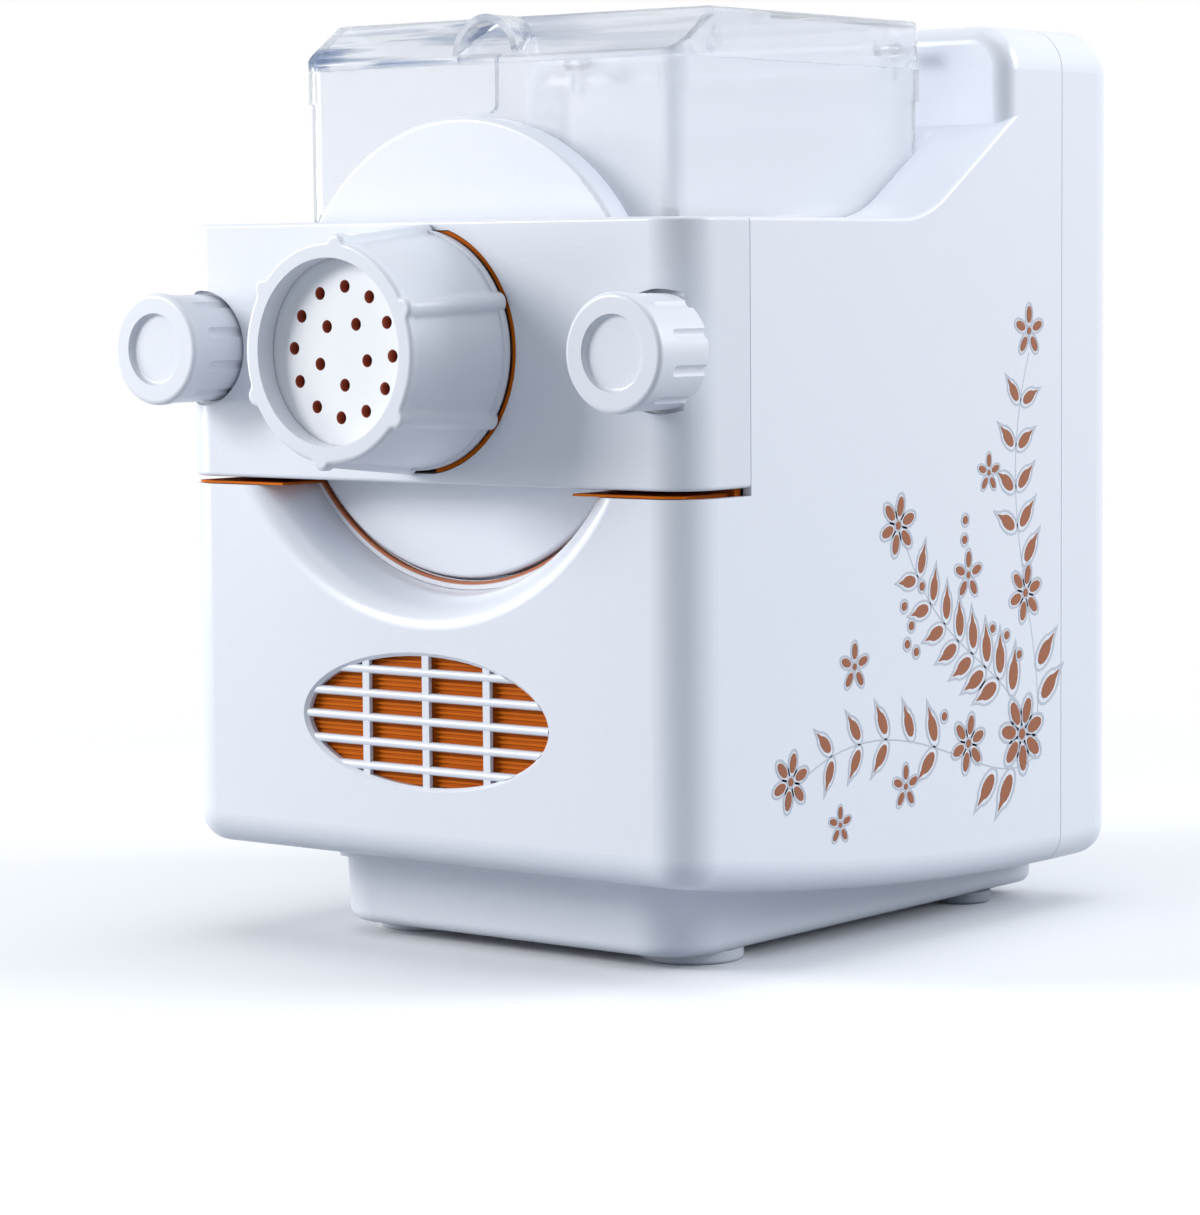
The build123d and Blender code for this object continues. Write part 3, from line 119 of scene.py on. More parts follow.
panel_light("key_light", toward=(-0.66, -0.72, 0.36), distance=1.9, size=0.6, power=20.9,
            colour=(1.0, 0.995, 0.985))
panel_light("low_light", toward=(-0.88, -0.50, 0.08), distance=1.6, size=0.4, power=6.4,
            colour=(1.0, 0.99, 0.98))
panel_light("side_light", toward=(0.81, 0.55, 0.46), distance=2.2, size=1.2, power=31.0,
            colour=(0.96, 0.975, 1.0))
sun_place = Vector((0.2, -0.05, 1.0))
sun_data = bpy.data.lights.new("high_sun", "SUN")
sun_data.energy = 0.82
sun_data.angle = radians(50)
sun_data.color = (0.95, 0.975, 1.0)
sun = bpy.data.objects.new("high_sun", sun_data)
sun.rotation_euler = sun_place.to_track_quat("Z", "Y").to_euler()
bpy.context.scene.collection.objects.link(sun)

# %% [markdown]
# The sky has two faces: white where the eye looks at it, straight on, through the clear bowl or in
# a reflection, and a faint blue where it fills the shadows. Light Path tells the two kinds of ray
# apart. The first two helpers for nodes come with it. One makes a node, sets its values and links
# what feeds it, and the other does a sum with sockets and numbers.

# %% Sky
def add_node(tree, kind, values=None, **links):
    """A node with set values and with links, given as input name = output socket."""
    node = tree.nodes.new(kind)
    for label, value in (values or {}).items():
        if label in node.inputs:
            node.inputs[label].default_value = value
        else:
            setattr(node, label, value)
    for label, source in links.items():
        tree.links.new(source, node.inputs[label.replace("_", " ")])
    return node


def arithmetic(tree, operation, *terms):
    """The result socket of a maths node; each term is a socket or a number."""
    node = add_node(tree, "ShaderNodeMath", {"operation": operation})
    for socket, term in zip(node.inputs, terms):
        if isinstance(term, bpy.types.NodeSocket):
            tree.links.new(term, socket)
        else:
            socket.default_value = term
    return node.outputs[0]


world = bpy.data.worlds.new("sky")
world.use_nodes = True
tree = world.node_tree
seen = tree.nodes["Background"]
seen.inputs["Color"].default_value = (1, 1, 1, 1)
seen.inputs["Strength"].default_value = 1.0
fill = add_node(tree, "ShaderNodeBackground", {"Color": (0.82, 0.90, 1.0, 1), "Strength": 0.37})
rays = tree.nodes.new("ShaderNodeLightPath")
straight = arithmetic(tree, "MAXIMUM", rays.outputs["Is Camera Ray"],
                      rays.outputs["Is Transmission Ray"])
bright = arithmetic(tree, "MAXIMUM", straight, rays.outputs["Is Glossy Ray"])
choice = add_node(tree, "ShaderNodeMixShader", Fac=bright)
tree.links.new(fill.outputs[0], choice.inputs[1])
tree.links.new(seen.outputs[0], choice.inputs[2])
tree.links.new(choice.outputs[0], tree.nodes["World Output"].inputs["Surface"])
bpy.context.scene.world = world
bpy.context.scene.view_settings.view_transform = "Standard"
print("sky:", world.name, len(tree.nodes), "nodes")

# %% [markdown]
# Finishes are built from a few node groups. A group is a small machine of nodes with its own
# sockets: it is built once and placed in each material with that material's values. Three helpers
# make an empty group, place a group in a tree and mix two colours.

# %% Group helpers
def new_group(name, inputs, outputs):
    """An empty shader group with named sockets; returns the group with its two end nodes."""
    group = bpy.data.node_groups.new(name, "ShaderNodeTree")
    kinds = {"colour": "NodeSocketColor", "value": "NodeSocketFloat", "vector": "NodeSocketVector"}
    for label, kind, start in inputs:
        socket = group.interface.new_socket(label, in_out="INPUT", socket_type=kinds[kind])
        if start is not None:
            socket.default_value = start
    for label, kind in outputs:
        group.interface.new_socket(label, in_out="OUTPUT", socket_type=kinds[kind])
    return group, group.nodes.new("NodeGroupInput"), group.nodes.new("NodeGroupOutput")


def place_group(tree, group, **values):
    """A group placed in a material's tree, with its values given as input name = value."""
    node = tree.nodes.new("ShaderNodeGroup")
    node.node_tree = group
    for label, value in values.items():
        node.inputs[label.replace("_", " ")].default_value = value
    return node


def mix_colours(tree, factor, first, second):
    """A colour mix whose factor is a socket and whose ends are sockets or colours."""
    node = add_node(tree, "ShaderNodeMix", {"data_type": "RGBA"})
    tree.links.new(factor, node.inputs["Factor"])
    for socket, value in ((node.inputs[6], first), (node.inputs[7], second)):
        if isinstance(value, bpy.types.NodeSocket):
            tree.links.new(value, socket)
        else:
            socket.default_value = value
    return node.outputs[2]


print("group helpers:", [helper.__name__ for helper in (new_group, place_group, mix_colours)])

# %% [markdown]
# This first group is the skin of a moulding. A real one is never one even colour: it has a slow
# change of tint, a fine ripple from the mould, and a shine that wanders with the wiping of hands.
# Three noises do that, at three scales, and one of them leaves the group as a height for a bump.

# %% Moulded skin group
moulded, entry, leave = new_group(
    "moulded_skin",
    [("Vector", "vector", None), ("Tint", "colour", (0.8, 0.8, 0.8, 1)),
     ("Shade", "colour", (0.7, 0.7, 0.7, 1)), ("Roughness", "value", 0.3),
     ("Roughness Change", "value", 0.08), ("Ripple Scale", "value", 900.0)],
    [("Colour", "colour"), ("Roughness", "value"), ("Height", "value")],
)
clouds = add_node(moulded, "ShaderNodeTexNoise", {"Scale": 9.0, "Detail": 4.0, "Roughness": 0.6},
                  Vector=entry.outputs["Vector"])
ripple = add_node(moulded, "ShaderNodeTexNoise", {"Detail": 3.0, "Roughness": 0.55},
                  Vector=entry.outputs["Vector"], Scale=entry.outputs["Ripple Scale"])
smears = add_node(moulded, "ShaderNodeTexNoise",
                  {"Scale": 46.0, "Detail": 5.0, "Roughness": 0.65, "Distortion": 0.8},
                  Vector=entry.outputs["Vector"])
tint = mix_colours(moulded, clouds.outputs["Fac"], entry.outputs["Tint"], entry.outputs["Shade"])
wander = arithmetic(moulded, "MULTIPLY_ADD", smears.outputs["Fac"],
                    entry.outputs["Roughness Change"], entry.outputs["Roughness"])
moulded.links.new(tint, leave.inputs["Colour"])
moulded.links.new(wander, leave.inputs["Roughness"])
moulded.links.new(ripple.outputs["Fac"], leave.inputs["Height"])
print("group:", moulded.name, len(moulded.nodes), "nodes")

# %% [markdown]
# The second group paints the shade of the creases. Ambient occlusion looks around each point: where
# other faces are close, little light arrives, so the colour is drawn towards a darker one there.

# %% Crease group
crease, entry, leave = new_group(
    "crease_shade",
    [("Colour", "colour", (0.8, 0.8, 0.8, 1)), ("Crease Colour", "colour", (0.4, 0.4, 0.4, 1)),
     ("Amount", "value", 0.5), ("Reach", "value", 0.006)],
    [("Colour", "colour")],
)
closeness = add_node(crease, "ShaderNodeAmbientOcclusion", {"samples": 8},
                     Distance=entry.outputs["Reach"])
hidden = arithmetic(crease, "SUBTRACT", 1.0, closeness.outputs["AO"])
share = arithmetic(crease, "MULTIPLY", hidden, entry.outputs["Amount"])
darker = mix_colours(crease, share, entry.outputs["Colour"], entry.outputs["Crease Colour"])
crease.links.new(darker, leave.inputs["Colour"])
print("group:", crease.name, len(crease.nodes), "nodes")

# %% [markdown]
# One function makes every opaque plastic of the machine, from the glossy case to the rubber feet.
# What is the same all over, such as the coat, is set on the shader itself; what changes over the
# surface comes from the two groups.

# %% Plastic maker
def new_material(name):
    """A material with its tree, its shader and object coordinates."""
    material = bpy.data.materials.new(name)
    material.use_nodes = True
    tree = material.node_tree
    shader = tree.nodes["Principled BSDF"]
    place = tree.nodes.new("ShaderNodeTexCoord").outputs["Object"]
    return material, tree, shader, place


def raise_bump(tree, shader, height, strength, distance):
    """Feeds a height to the shader's normal through a bump node."""
    bump = add_node(tree, "ShaderNodeBump", {"Strength": strength, "Distance": distance},
                    Height=height)
    tree.links.new(bump.outputs["Normal"], shader.inputs["Normal"])


def moulded_plastic(name, tint, shade, roughness, scale=900.0, strength=0.1,
                    crease_shade_colour=(0.30, 0.34, 0.42, 1), crease_amount=0.3, reach=0.006, coat=0.0,
                    gloss=0.5):
    """A moulded plastic or rubber: tint and shade are linear colours that drift into each other."""
    material, tree, shader, place = new_material(name)
    skin = place_group(tree, moulded, Tint=(*tint, 1), Shade=(*shade, 1), Roughness=roughness,
                       Roughness_Change=0.08, Ripple_Scale=scale)
    tree.links.new(place, skin.inputs["Vector"])
    # Painted shade: the crease group darkens the colour where other faces are close.
    folds = place_group(tree, crease, Crease_Colour=crease_shade_colour, Amount=crease_amount,
                        Reach=reach)
    tree.links.new(skin.outputs["Colour"], folds.inputs["Colour"])
    tree.links.new(folds.outputs["Colour"], shader.inputs["Base Color"])
    tree.links.new(skin.outputs["Roughness"], shader.inputs["Roughness"])
    raise_bump(tree, shader, skin.outputs["Height"], strength=strength, distance=0.0004)
    shader.inputs["Coat Weight"].default_value = coat
    shader.inputs["Coat Roughness"].default_value = 0.06
    shader.inputs["Specular IOR Level"].default_value = gloss
    return material


print("maker:", moulded_plastic.__name__)

# %% [markdown]
# The plastics of the machine, each with two near colours. The whites lean to blue, as a white
# plastic with optical brightener does. The amber one behind the openings has a deep red-brown
# painted shade in its creases, because light goes into it and comes back redder. The fan and the
# inlet are nearly black.

# %% Plastics
plastics = {
    "body_white": moulded_plastic(
        "body_white", (0.855, 0.878, 0.935), (0.835, 0.86, 0.925), 0.26, coat=0.25),
    "front_white": moulded_plastic(
        "front_white", (0.80, 0.82, 0.875), (0.77, 0.795, 0.86), 0.30, coat=0.12),
    "die_white": moulded_plastic(
        "die_white", (0.90, 0.91, 0.935), (0.88, 0.892, 0.92), 0.38, scale=1500.0,
        crease_amount=0.2, reach=0.0022),
    "amber_plastic": moulded_plastic(
        "amber_plastic", (0.80, 0.20, 0.0), (0.63, 0.12, 0.0), 0.6, gloss=0.12,
        crease_shade_colour=(0.24, 0.025, 0.001, 1), crease_amount=0.65, reach=0.009),
    "paddle_white": moulded_plastic(
        "paddle_white", (0.82, 0.83, 0.85), (0.78, 0.79, 0.81), 0.42),
    "soft_seal": moulded_plastic(
        "soft_seal", (0.60, 0.61, 0.63), (0.54, 0.55, 0.57), 0.55, scale=2400.0),
    "foot_rubber": moulded_plastic(
        "foot_rubber", (0.46, 0.49, 0.53), (0.40, 0.43, 0.47), 0.7, scale=3200.0, strength=0.3),
    "gear_plastic": moulded_plastic(
        "gear_plastic", (0.66, 0.63, 0.53), (0.60, 0.57, 0.46), 0.45,
        crease_shade_colour=(0.22, 0.17, 0.09, 1)),
    "fan_black": moulded_plastic(
        "fan_black", (0.022, 0.022, 0.025), (0.034, 0.034, 0.038), 0.5,
        crease_shade_colour=(0.005, 0.005, 0.005, 1)),
    "black_plastic": moulded_plastic(
        "black_plastic", (0.018, 0.018, 0.02), (0.03, 0.03, 0.033), 0.42, scale=2600.0,
        strength=0.35, crease_shade_colour=(0.004, 0.004, 0.004, 1)),
    "panel_grey": moulded_plastic(
        "panel_grey", (0.50, 0.55, 0.62), (0.46, 0.51, 0.58), 0.2, coat=0.5),
    "button_white": moulded_plastic(
        "button_white", (0.82, 0.84, 0.88), (0.78, 0.81, 0.86), 0.3, coat=0.3),
}
print("plastics:", len(plastics))

# %% [markdown]
# The front slope of the lid shows long dark marks, where the slope mirrors the room: a painted
# reflection. They could be drawn as an image, but a noise drawn out along X gives the same wisps,
# and three soft limits keep them on the slope and make them stronger to the left.

# %% Painted reflection marks
mark_stretch = (16.0, 190.0, 190.0)
wisp_limits = (0.47, 0.58, 0.0, 1.0)
slope_front = (-0.044, -0.052, 0.0, 1.0)
slope_foot = (0.2765, 0.2785, 0.0, 1.0)
left_end = (0.04, -0.045, 0.2, 1.0)


def painted_reflection_marks(tree, place, clear, reflection_colour):
    """Draws a clear colour towards a dark one, a painted reflection, in long marks along the front
    slope of the lid.
    """
    drawn_out = add_node(tree, "ShaderNodeVectorMath", {"operation": "MULTIPLY"})
    tree.links.new(place, drawn_out.inputs[0])
    drawn_out.inputs[1].default_value = mark_stretch
    wisps = add_node(tree, "ShaderNodeTexNoise", {"Scale": 1.0, "Detail": 2.5, "Distortion": 0.7},
                     Vector=drawn_out.outputs["Vector"])
    apart = add_node(tree, "ShaderNodeSeparateXYZ", Vector=place)
    names = ("From Min", "From Max", "To Min", "To Max")
    masks = []
    for source, limits in ((wisps.outputs["Fac"], wisp_limits), (apart.outputs["Y"], slope_front),
                           (apart.outputs["Z"], slope_foot), (apart.outputs["X"], left_end)):
        ramp = add_node(tree, "ShaderNodeMapRange", dict(zip(names, limits)), Value=source)
        masks.append(ramp.outputs["Result"])
    mask = masks[0]
    for other in masks[1:]:
        mask = arithmetic(tree, "MULTIPLY", mask, other)
    return mix_colours(tree, mask, clear, reflection_colour)


print("marks along X, stretched by", mark_stretch)

# %% [markdown]
# The clear plastic of bowl and lid. It is glass to the eye, but a path tracer finds its way through
# two walls of glass only by luck, so shadow rays and diffuse rays are let straight through. That
# keeps the inside bright. A part of the material stays diffuse, because a bowl that is washed every
# day is never quite clear.

# %% Clear plastic
def clear_plastic(name, tint, haze, reflection_colour=None):
    """Clear moulding: haze is the share of light that scatters instead of passing."""
    material, tree, shader, place = new_material(name)
    shade = tuple(0.98 * channel for channel in tint)
    skin = place_group(tree, moulded, Tint=(*tint, 1), Shade=(*shade, 1), Roughness=0.02,
                       Roughness_Change=0.05, Ripple_Scale=60.0)
    tree.links.new(place, skin.inputs["Vector"])
    colour = skin.outputs["Colour"]
    if reflection_colour:
        colour = painted_reflection_marks(tree, place, colour, reflection_colour)
    tree.links.new(colour, shader.inputs["Base Color"])
    tree.links.new(skin.outputs["Roughness"], shader.inputs["Roughness"])
    raise_bump(tree, shader, skin.outputs["Height"], strength=0.05, distance=0.0005)
    shader.inputs["Transmission Weight"].default_value = 1.0 - haze
    shader.inputs["IOR"].default_value = 1.35
    path = tree.nodes.new("ShaderNodeLightPath")
    either = arithmetic(tree, "MAXIMUM", path.outputs["Is Shadow Ray"],
                        path.outputs["Is Diffuse Ray"])
    passing = add_node(tree, "ShaderNodeBsdfTransparent", {"Color": (0.95, 0.96, 0.975, 1)})
    choice = add_node(tree, "ShaderNodeMixShader", Fac=either)
    tree.links.new(shader.outputs["BSDF"], choice.inputs[1])
    tree.links.new(passing.outputs["BSDF"], choice.inputs[2])
    tree.links.new(choice.outputs["Shader"], tree.nodes["Material Output"].inputs["Surface"])
    return material


clear_tint = (0.952, 0.956, 0.978)
clear_haze = 0.28
# The dark blue of the painted reflection marks on the lid's slope.
reflection_dark = (0.17, 0.26, 0.43, 1)
plastics["clear_plastic"] = clear_plastic("clear_plastic", clear_tint, clear_haze)
clear_lid = clear_plastic("clear_lid", clear_tint, clear_haze, reflection_colour=reflection_dark)
print("clear plastic:", plastics["clear_plastic"].name, clear_lid.name)

# %% [markdown]
# Plated steel, bronze and brass share one group: fine lines from the tool that cut them, a slight
# spot, and a roughness that follows the lines. The lines run round Y, the direction of every shaft
# in the machine: the noise is drawn out in X and Z and stays fine along Y.

# %% Turned metal group
turned, entry, leave = new_group(
    "turned_metal",
    [("Vector", "vector", None), ("Metal", "colour", (0.6, 0.6, 0.6, 1)),
     ("Stain", "colour", (0.4, 0.4, 0.4, 1)), ("Line Scale", "value", 2500.0),
     ("Roughness", "value", 0.25), ("Line Roughness", "value", 0.2)],
    [("Colour", "colour"), ("Roughness", "value"), ("Height", "value")],
)
stretch = add_node(turned, "ShaderNodeVectorMath", {"operation": "MULTIPLY"})
turned.links.new(entry.outputs["Vector"], stretch.inputs[0])
stretch.inputs[1].default_value = (0.04, 1.0, 0.04)
lines = add_node(turned, "ShaderNodeTexNoise", {"Detail": 4.0}, Scale=entry.outputs["Line Scale"],
                 Vector=stretch.outputs["Vector"])
spots = add_node(turned, "ShaderNodeTexNoise", {"Scale": 120.0, "Detail": 6.0, "Roughness": 0.7},
                 Vector=entry.outputs["Vector"])
stained = mix_colours(turned, spots.outputs["Fac"], entry.outputs["Metal"], entry.outputs["Stain"])
polish = arithmetic(turned, "MULTIPLY_ADD", lines.outputs["Fac"], entry.outputs["Line Roughness"],
                    entry.outputs["Roughness"])
turned.links.new(stained, leave.inputs["Colour"])
turned.links.new(polish, leave.inputs["Roughness"])
turned.links.new(lines.outputs["Fac"], leave.inputs["Height"])
print("group:", turned.name, len(turned.nodes), "nodes")

# %% [markdown]
# Most of the metals sit inside the housing. Screws show on the back, and the shaft and the studs
# show when the bowl and the bar are drawn off. The iron of the motor is a stack of sheets, so its
# lines are coarse and its bump is strong.

# %% Metals
def metal(name, colour, stain, roughness, lines=0.2, scale=2500.0, strength=0.2):
    """A metal with tool lines round the Y axis."""
    material, tree, shader, place = new_material(name)
    surface = place_group(tree, turned, Metal=(*colour, 1), Stain=(*stain, 1), Roughness=roughness,
                          Line_Roughness=lines, Line_Scale=scale)
    tree.links.new(place, surface.inputs["Vector"])
    tree.links.new(surface.outputs["Colour"], shader.inputs["Base Color"])
    tree.links.new(surface.outputs["Roughness"], shader.inputs["Roughness"])
    raise_bump(tree, shader, surface.outputs["Height"], strength=strength, distance=0.0001)
    shader.inputs["Metallic"].default_value = 1.0
    return material


metals = {
    "steel": metal("steel", (0.56, 0.57, 0.58), (0.47, 0.48, 0.50), 0.22),
    "zinc_screw": metal("zinc_screw", (0.66, 0.67, 0.69), (0.58, 0.58, 0.56), 0.16, scale=4000.0),
    "bronze": metal("bronze", (0.50, 0.29, 0.12), (0.36, 0.19, 0.08), 0.38, scale=1600.0),
    "brass_nut": metal("brass_nut", (0.66, 0.46, 0.18), (0.55, 0.36, 0.13), 0.24),
    "motor_iron": metal("motor_iron", (0.17, 0.17, 0.18), (0.11, 0.105, 0.10), 0.42, lines=0.3,
                        scale=1900.0, strength=0.8),
    "motor_shell": metal("motor_shell", (0.52, 0.53, 0.54), (0.45, 0.46, 0.47), 0.4, scale=700.0),
}
print("metals:", len(metals))

# %% [markdown]
# The circuit board: solder mask over copper tracks. A brick pattern gives the tracks, which show as
# slightly paler and raised lines under the green. Its roughness is a noise brought into a narrow
# range.

# %% Circuit board
def spread(tree, source, low, high):
    """Maps a 0 to 1 value to the range from low to high."""
    return add_node(tree, "ShaderNodeMapRange", {"To Min": low, "To Max": high},
                    Value=source).outputs["Result"]


board, tree, shader, place = new_material("board_green")
tracks = add_node(tree, "ShaderNodeTexBrick",
                  {"Scale": 260.0, "Mortar Size": 0.02, "offset": 0.4,
                   "Color1": (0.02, 0.10, 0.04, 1), "Color2": (0.015, 0.08, 0.03, 1),
                   "Mortar": (0.05, 0.19, 0.07, 1)}, Vector=place)
tree.links.new(tracks.outputs["Color"], shader.inputs["Base Color"])
raise_bump(tree, shader, tracks.outputs["Fac"], strength=0.4, distance=0.0002)
mask_gloss = add_node(tree, "ShaderNodeTexNoise", {"Scale": 300.0}, Vector=place)
tree.links.new(spread(tree, mask_gloss.outputs["Fac"], low=0.25, high=0.45),
               shader.inputs["Roughness"])
print("board:", board.name)

# %% [markdown]
# Each solid takes the finish that the record names for it. The mesh stays as it was packed,
# and only the material in its slot changes. The lid takes its own clear plastic, with the marks.

# %% Dress the solids
finishes = {**plastics, **metals, "board_green": board}
for subpart in frame["record"]["subparts"]:
    solid = nodes[subpart["node"]]
    solid.data.materials.clear()
    solid.data.materials.append(finishes[subpart["material_slot"]])
nodes["lid"].data.materials[0] = clear_lid
print("dressed:", len(nodes), "solids with", len(finishes), "finishes")

# %% [markdown]
# Two solids show a second finish on a few faces. The trim ring at the bottom of the scoop is amber
# only along its inner edge, and there a painted shade darkens it to a red-brown: a mask on the
# distance from the axis of the machine turns it white further out. Vector maths gives that
# distance: take the axis away, flatten along Y, measure.

# %% Trim ring finish
axis_z = 0.190
amber_edge = {"From Min": 0.0726, "From Max": 0.0731}
# Painted shade: the amber of the inner edge darkened to a red-brown, as it lies deep in the gap.
painted_shade_amber = (0.42, 0.11, 0.03, 1)
scoop_white = (0.80, 0.82, 0.87, 1)
trim, tree, shader, place = new_material("trim_ring")
from_axis = add_node(tree, "ShaderNodeVectorMath", {"operation": "SUBTRACT"})
tree.links.new(place, from_axis.inputs[0])
from_axis.inputs[1].default_value = (0, 0, axis_z)
flat = add_node(tree, "ShaderNodeVectorMath", {"operation": "MULTIPLY"})
tree.links.new(from_axis.outputs["Vector"], flat.inputs[0])
flat.inputs[1].default_value = (1, 0, 1)
radius = add_node(tree, "ShaderNodeVectorMath", {"operation": "LENGTH"})
tree.links.new(flat.outputs["Vector"], radius.inputs[0])
outside = add_node(tree, "ShaderNodeMapRange", amber_edge, Value=radius.outputs["Value"])
tree.links.new(mix_colours(tree, outside.outputs["Result"], painted_shade_amber, scoop_white),
               shader.inputs["Base Color"])
shader.inputs["Roughness"].default_value = 0.45
print("trim ring:", trim.name, "amber inside", amber_edge["From Min"], "m")

# %% [markdown]
# The walls of the die holes are painted red-brown: a painted shade, warmed by the amber light from
# behind the die. Faces are picked by the place of their middle and by their normal: a hole's wall
# faces sideways and lies near the axis, and the ring's faces lie between two radii and two depths.

# %% Second finishes
ring_y = (-0.0805, -0.0780)
ring_radii = (0.0715, 0.0747)
hole_limit = 0.025
sideways = 0.5
# Painted shade: the hole walls take this red-brown in place of their shade.
hole_wall_painted_shade = moulded_plastic("hole_wall_painted_shade", (0.62, 0.19, 0.11), (0.50, 0.14, 0.08), 0.6, gloss=0.3,
                            crease_amount=0.0)


def second_finish(solid, finish, test):
    """Gives a finish to the faces whose middle and normal pass the test."""
    solid.data.materials.append(finish)
    chosen = [face for face in solid.data.polygons if test(face.center, face.normal)]
    for face in chosen:
        face.material_index = 1
    print(solid.name, "faces with", finish.name + ":", len(chosen))


def from_axle(spot):
    """Distance from the axis of mixing and extrusion."""
    return hypot(spot.x, spot.z - axis_z)


def in_hole(spot, normal):
    """True on the wall of a die hole."""
    return abs(normal.y) < sideways and from_axle(spot) < hole_limit


def on_ring(spot, normal):
    """True on the trim ring."""
    return ring_y[0] < spot.y < ring_y[1] and ring_radii[0] < from_axle(spot) < ring_radii[1]


second_finish(nodes["die_plate"], hole_wall_painted_shade, in_hole)
second_finish(nodes["inner_frame"], trim, on_ring)

# %% [markdown]
# The ornament on the right side is printed. It is drawn flat, along Y and Z of the machine, as thin
# raised shapes in two inks: leaves, rosettes and berries on three stems that fan out of one corner.
# Every motif starts as a filled circle. It is stretched, its tip is drawn out, or an inset leaves
# only its rim, and extrusion gives it a rise. The rises differ a little, so that no two faces of
# shapes that cross lie in one plane. A corner is picked by its place, as a script has no mouse.

# %% Motif maker
def pick_corners(piece, test):
    """In edit mode, select only the corners whose place passes the test."""
    mesh = bmesh.from_edit_mesh(piece.data)
    bpy.ops.mesh.select_all(action="DESELECT")
    mesh.select_mode = {"VERT"}
    for corner in mesh.verts:
        corner.select_set(test(corner.co))
    mesh.select_flush_mode()
    bmesh.update_edit_mesh(piece.data)


at_tip = 0.999


def disc_shape(name, vertices, radius, rise, length=1.0, point=0.0, rim=0.0):
    """A flat raised shape: a circle stretched along X, with a drawn-out tip, or only its rim."""
    deselect()
    bpy.ops.mesh.primitive_circle_add(vertices=vertices, radius=radius, fill_type="NGON",
                                      rotation=(0, 0, -pi / 2))
    shape = bpy.context.object
    shape.name = name
    bpy.ops.object.transform_apply(location=False, rotation=True, scale=False)
    bpy.ops.object.mode_set(mode="EDIT")
    pick_corners(shape, lambda place: place.x > at_tip * radius)
    bpy.ops.transform.translate(value=(point, 0, 0))
    bpy.ops.mesh.select_all(action="SELECT")
    bpy.ops.transform.resize(value=(length, 1, 1), center_override=(0, 0, 0))
    if rim:
        bpy.context.tool_settings.mesh_select_mode = (False, False, True)
        bpy.ops.mesh.select_all(action="SELECT")
        bpy.ops.mesh.inset(thickness=rim)
        bpy.ops.mesh.delete(type="FACE")
        bpy.ops.mesh.select_all(action="SELECT")
    bpy.ops.mesh.extrude_region_move(TRANSFORM_OT_translate={"value": (0, 0, rise)})
    bpy.ops.object.mode_set(mode="OBJECT")
    return shape


print("maker:", disc_shape.__name__)

# %% [markdown]
# Three motifs, each with a wider rim of the second ink round it: a pointed leaf, a round petal and
# a berry. Each is modelled once and stamped many times.

# %% Motifs
leaf = disc_shape("leaf", vertices=14, radius=0.0021, rise=0.00022, length=1.9, point=0.0014)
leaf_rim = disc_shape("leaf_rim", vertices=14, radius=0.0036, rise=0.00018, length=1.7,
                      point=0.0020, rim=0.0007)
petal = disc_shape("petal", vertices=12, radius=0.0014, rise=0.00024, length=1.9)
petal_rim = disc_shape("petal_rim", vertices=12, radius=0.0024, rise=0.00020, length=1.65,
                       rim=0.0006)
berry = disc_shape("berry", vertices=12, radius=0.0014, rise=0.00027)
berry_rim = disc_shape("berry_rim", vertices=16, radius=0.0025, rise=0.00021, rim=0.0006)
motifs = (leaf, leaf_rim, petal, petal_rim, berry, berry_rim)
print("motifs:", [motif.name for motif in motifs])

# %% [markdown]
# Stamping copies a motif to a place given in millimetres. A list of taken places keeps motifs off
# each other, as a printer's artist would leave air between them.

# %% Stamp
brown_pieces = []
grey_pieces = []
taken = []


def stamp(motif, pieces, place, turn, size=1.0):
    """A copy of a motif at a place in millimetres."""
    deselect()
    motif.select_set(True)
    bpy.context.view_layer.objects.active = motif
    bpy.ops.object.duplicate()
    copy = bpy.context.object
    copy.location = (place[0] / 1000, place[1] / 1000, 0)
    copy.rotation_euler.z = turn
    copy.scale = (size, size, 1)
    pieces.append(copy)


def stamp_pair(motif, motif_rim, place, turn, size=1.0):
    """A motif in brown with its rim in grey."""
    stamp(motif, brown_pieces, place, turn, size)
    stamp(motif_rim, grey_pieces, place, turn, size)


def room(place, reach):
    """True where no earlier motif lies within reach; the place is then taken."""
    free = all(hypot(place[0] - x, place[1] - y) > reach + other for x, y, other in taken)
    if free:
        taken.append((place[0], place[1], reach))
    return free


print("inks: brown and grey; places taken:", len(taken))

# %% [markdown]
# The rosettes come first, at the root of the stems, at their tips and beside them. The leaves give
# way to them. A rosette is a ring of petals about a berry.

# %% Rosettes
rosette_reach = 8.5
petal_distance = 5.0
rosette_turn = 0.3
middle_share = 0.8
rosettes = [
    ((180, 62), 7, 1.6), ((50, 60), 6, 1.15), ((108, 134), 6, 1.2), ((184, 193), 5, 1.05),
    ((148, 62), 6, 1.2), ((182, 108), 6, 1.2), ((148, 116), 5, 1.0), ((84, 92), 5, 0.95),
    ((112, 52), 5, 0.9), ((76, 44), 5, 0.75), ((160, 148), 5, 0.8),
]
for centre, petals, size in rosettes:
    room(centre, rosette_reach * size)
    for n in range(petals):
        angle = rosette_turn + 2 * pi * n / petals
        spot = (centre[0] + petal_distance * size * cos(angle),
                centre[1] + petal_distance * size * sin(angle))
        stamp_pair(petal, petal_rim, spot, angle, size)
    stamp(berry, brown_pieces, centre, 0, middle_share * size)
print("rosettes:", len(rosettes), "pieces:", len(brown_pieces), "brown,", len(grey_pieces), "grey")

# %% [markdown]
# A stem is a Bezier curve with a round section, turned into a mesh and flattened. The same four
# points tell where its leaves go: the cubic formula gives the place at t, its slope the heading.

# %% Stem maker
stem_rise = 0.00016
stem_width = 0.00045


def along(points, t):
    """The place and the direction on a cubic curve at t between 0 and 1."""
    a, b, c, d = (Vector(point) for point in points)
    s = 1 - t
    place = a * s**3 + b * 3 * s * s * t + c * 3 * s * t * t + d * t**3
    slope = (b - a) * s * s + (c - b) * 2 * s * t + (d - c) * t * t
    return place, atan2(slope.y, slope.x)


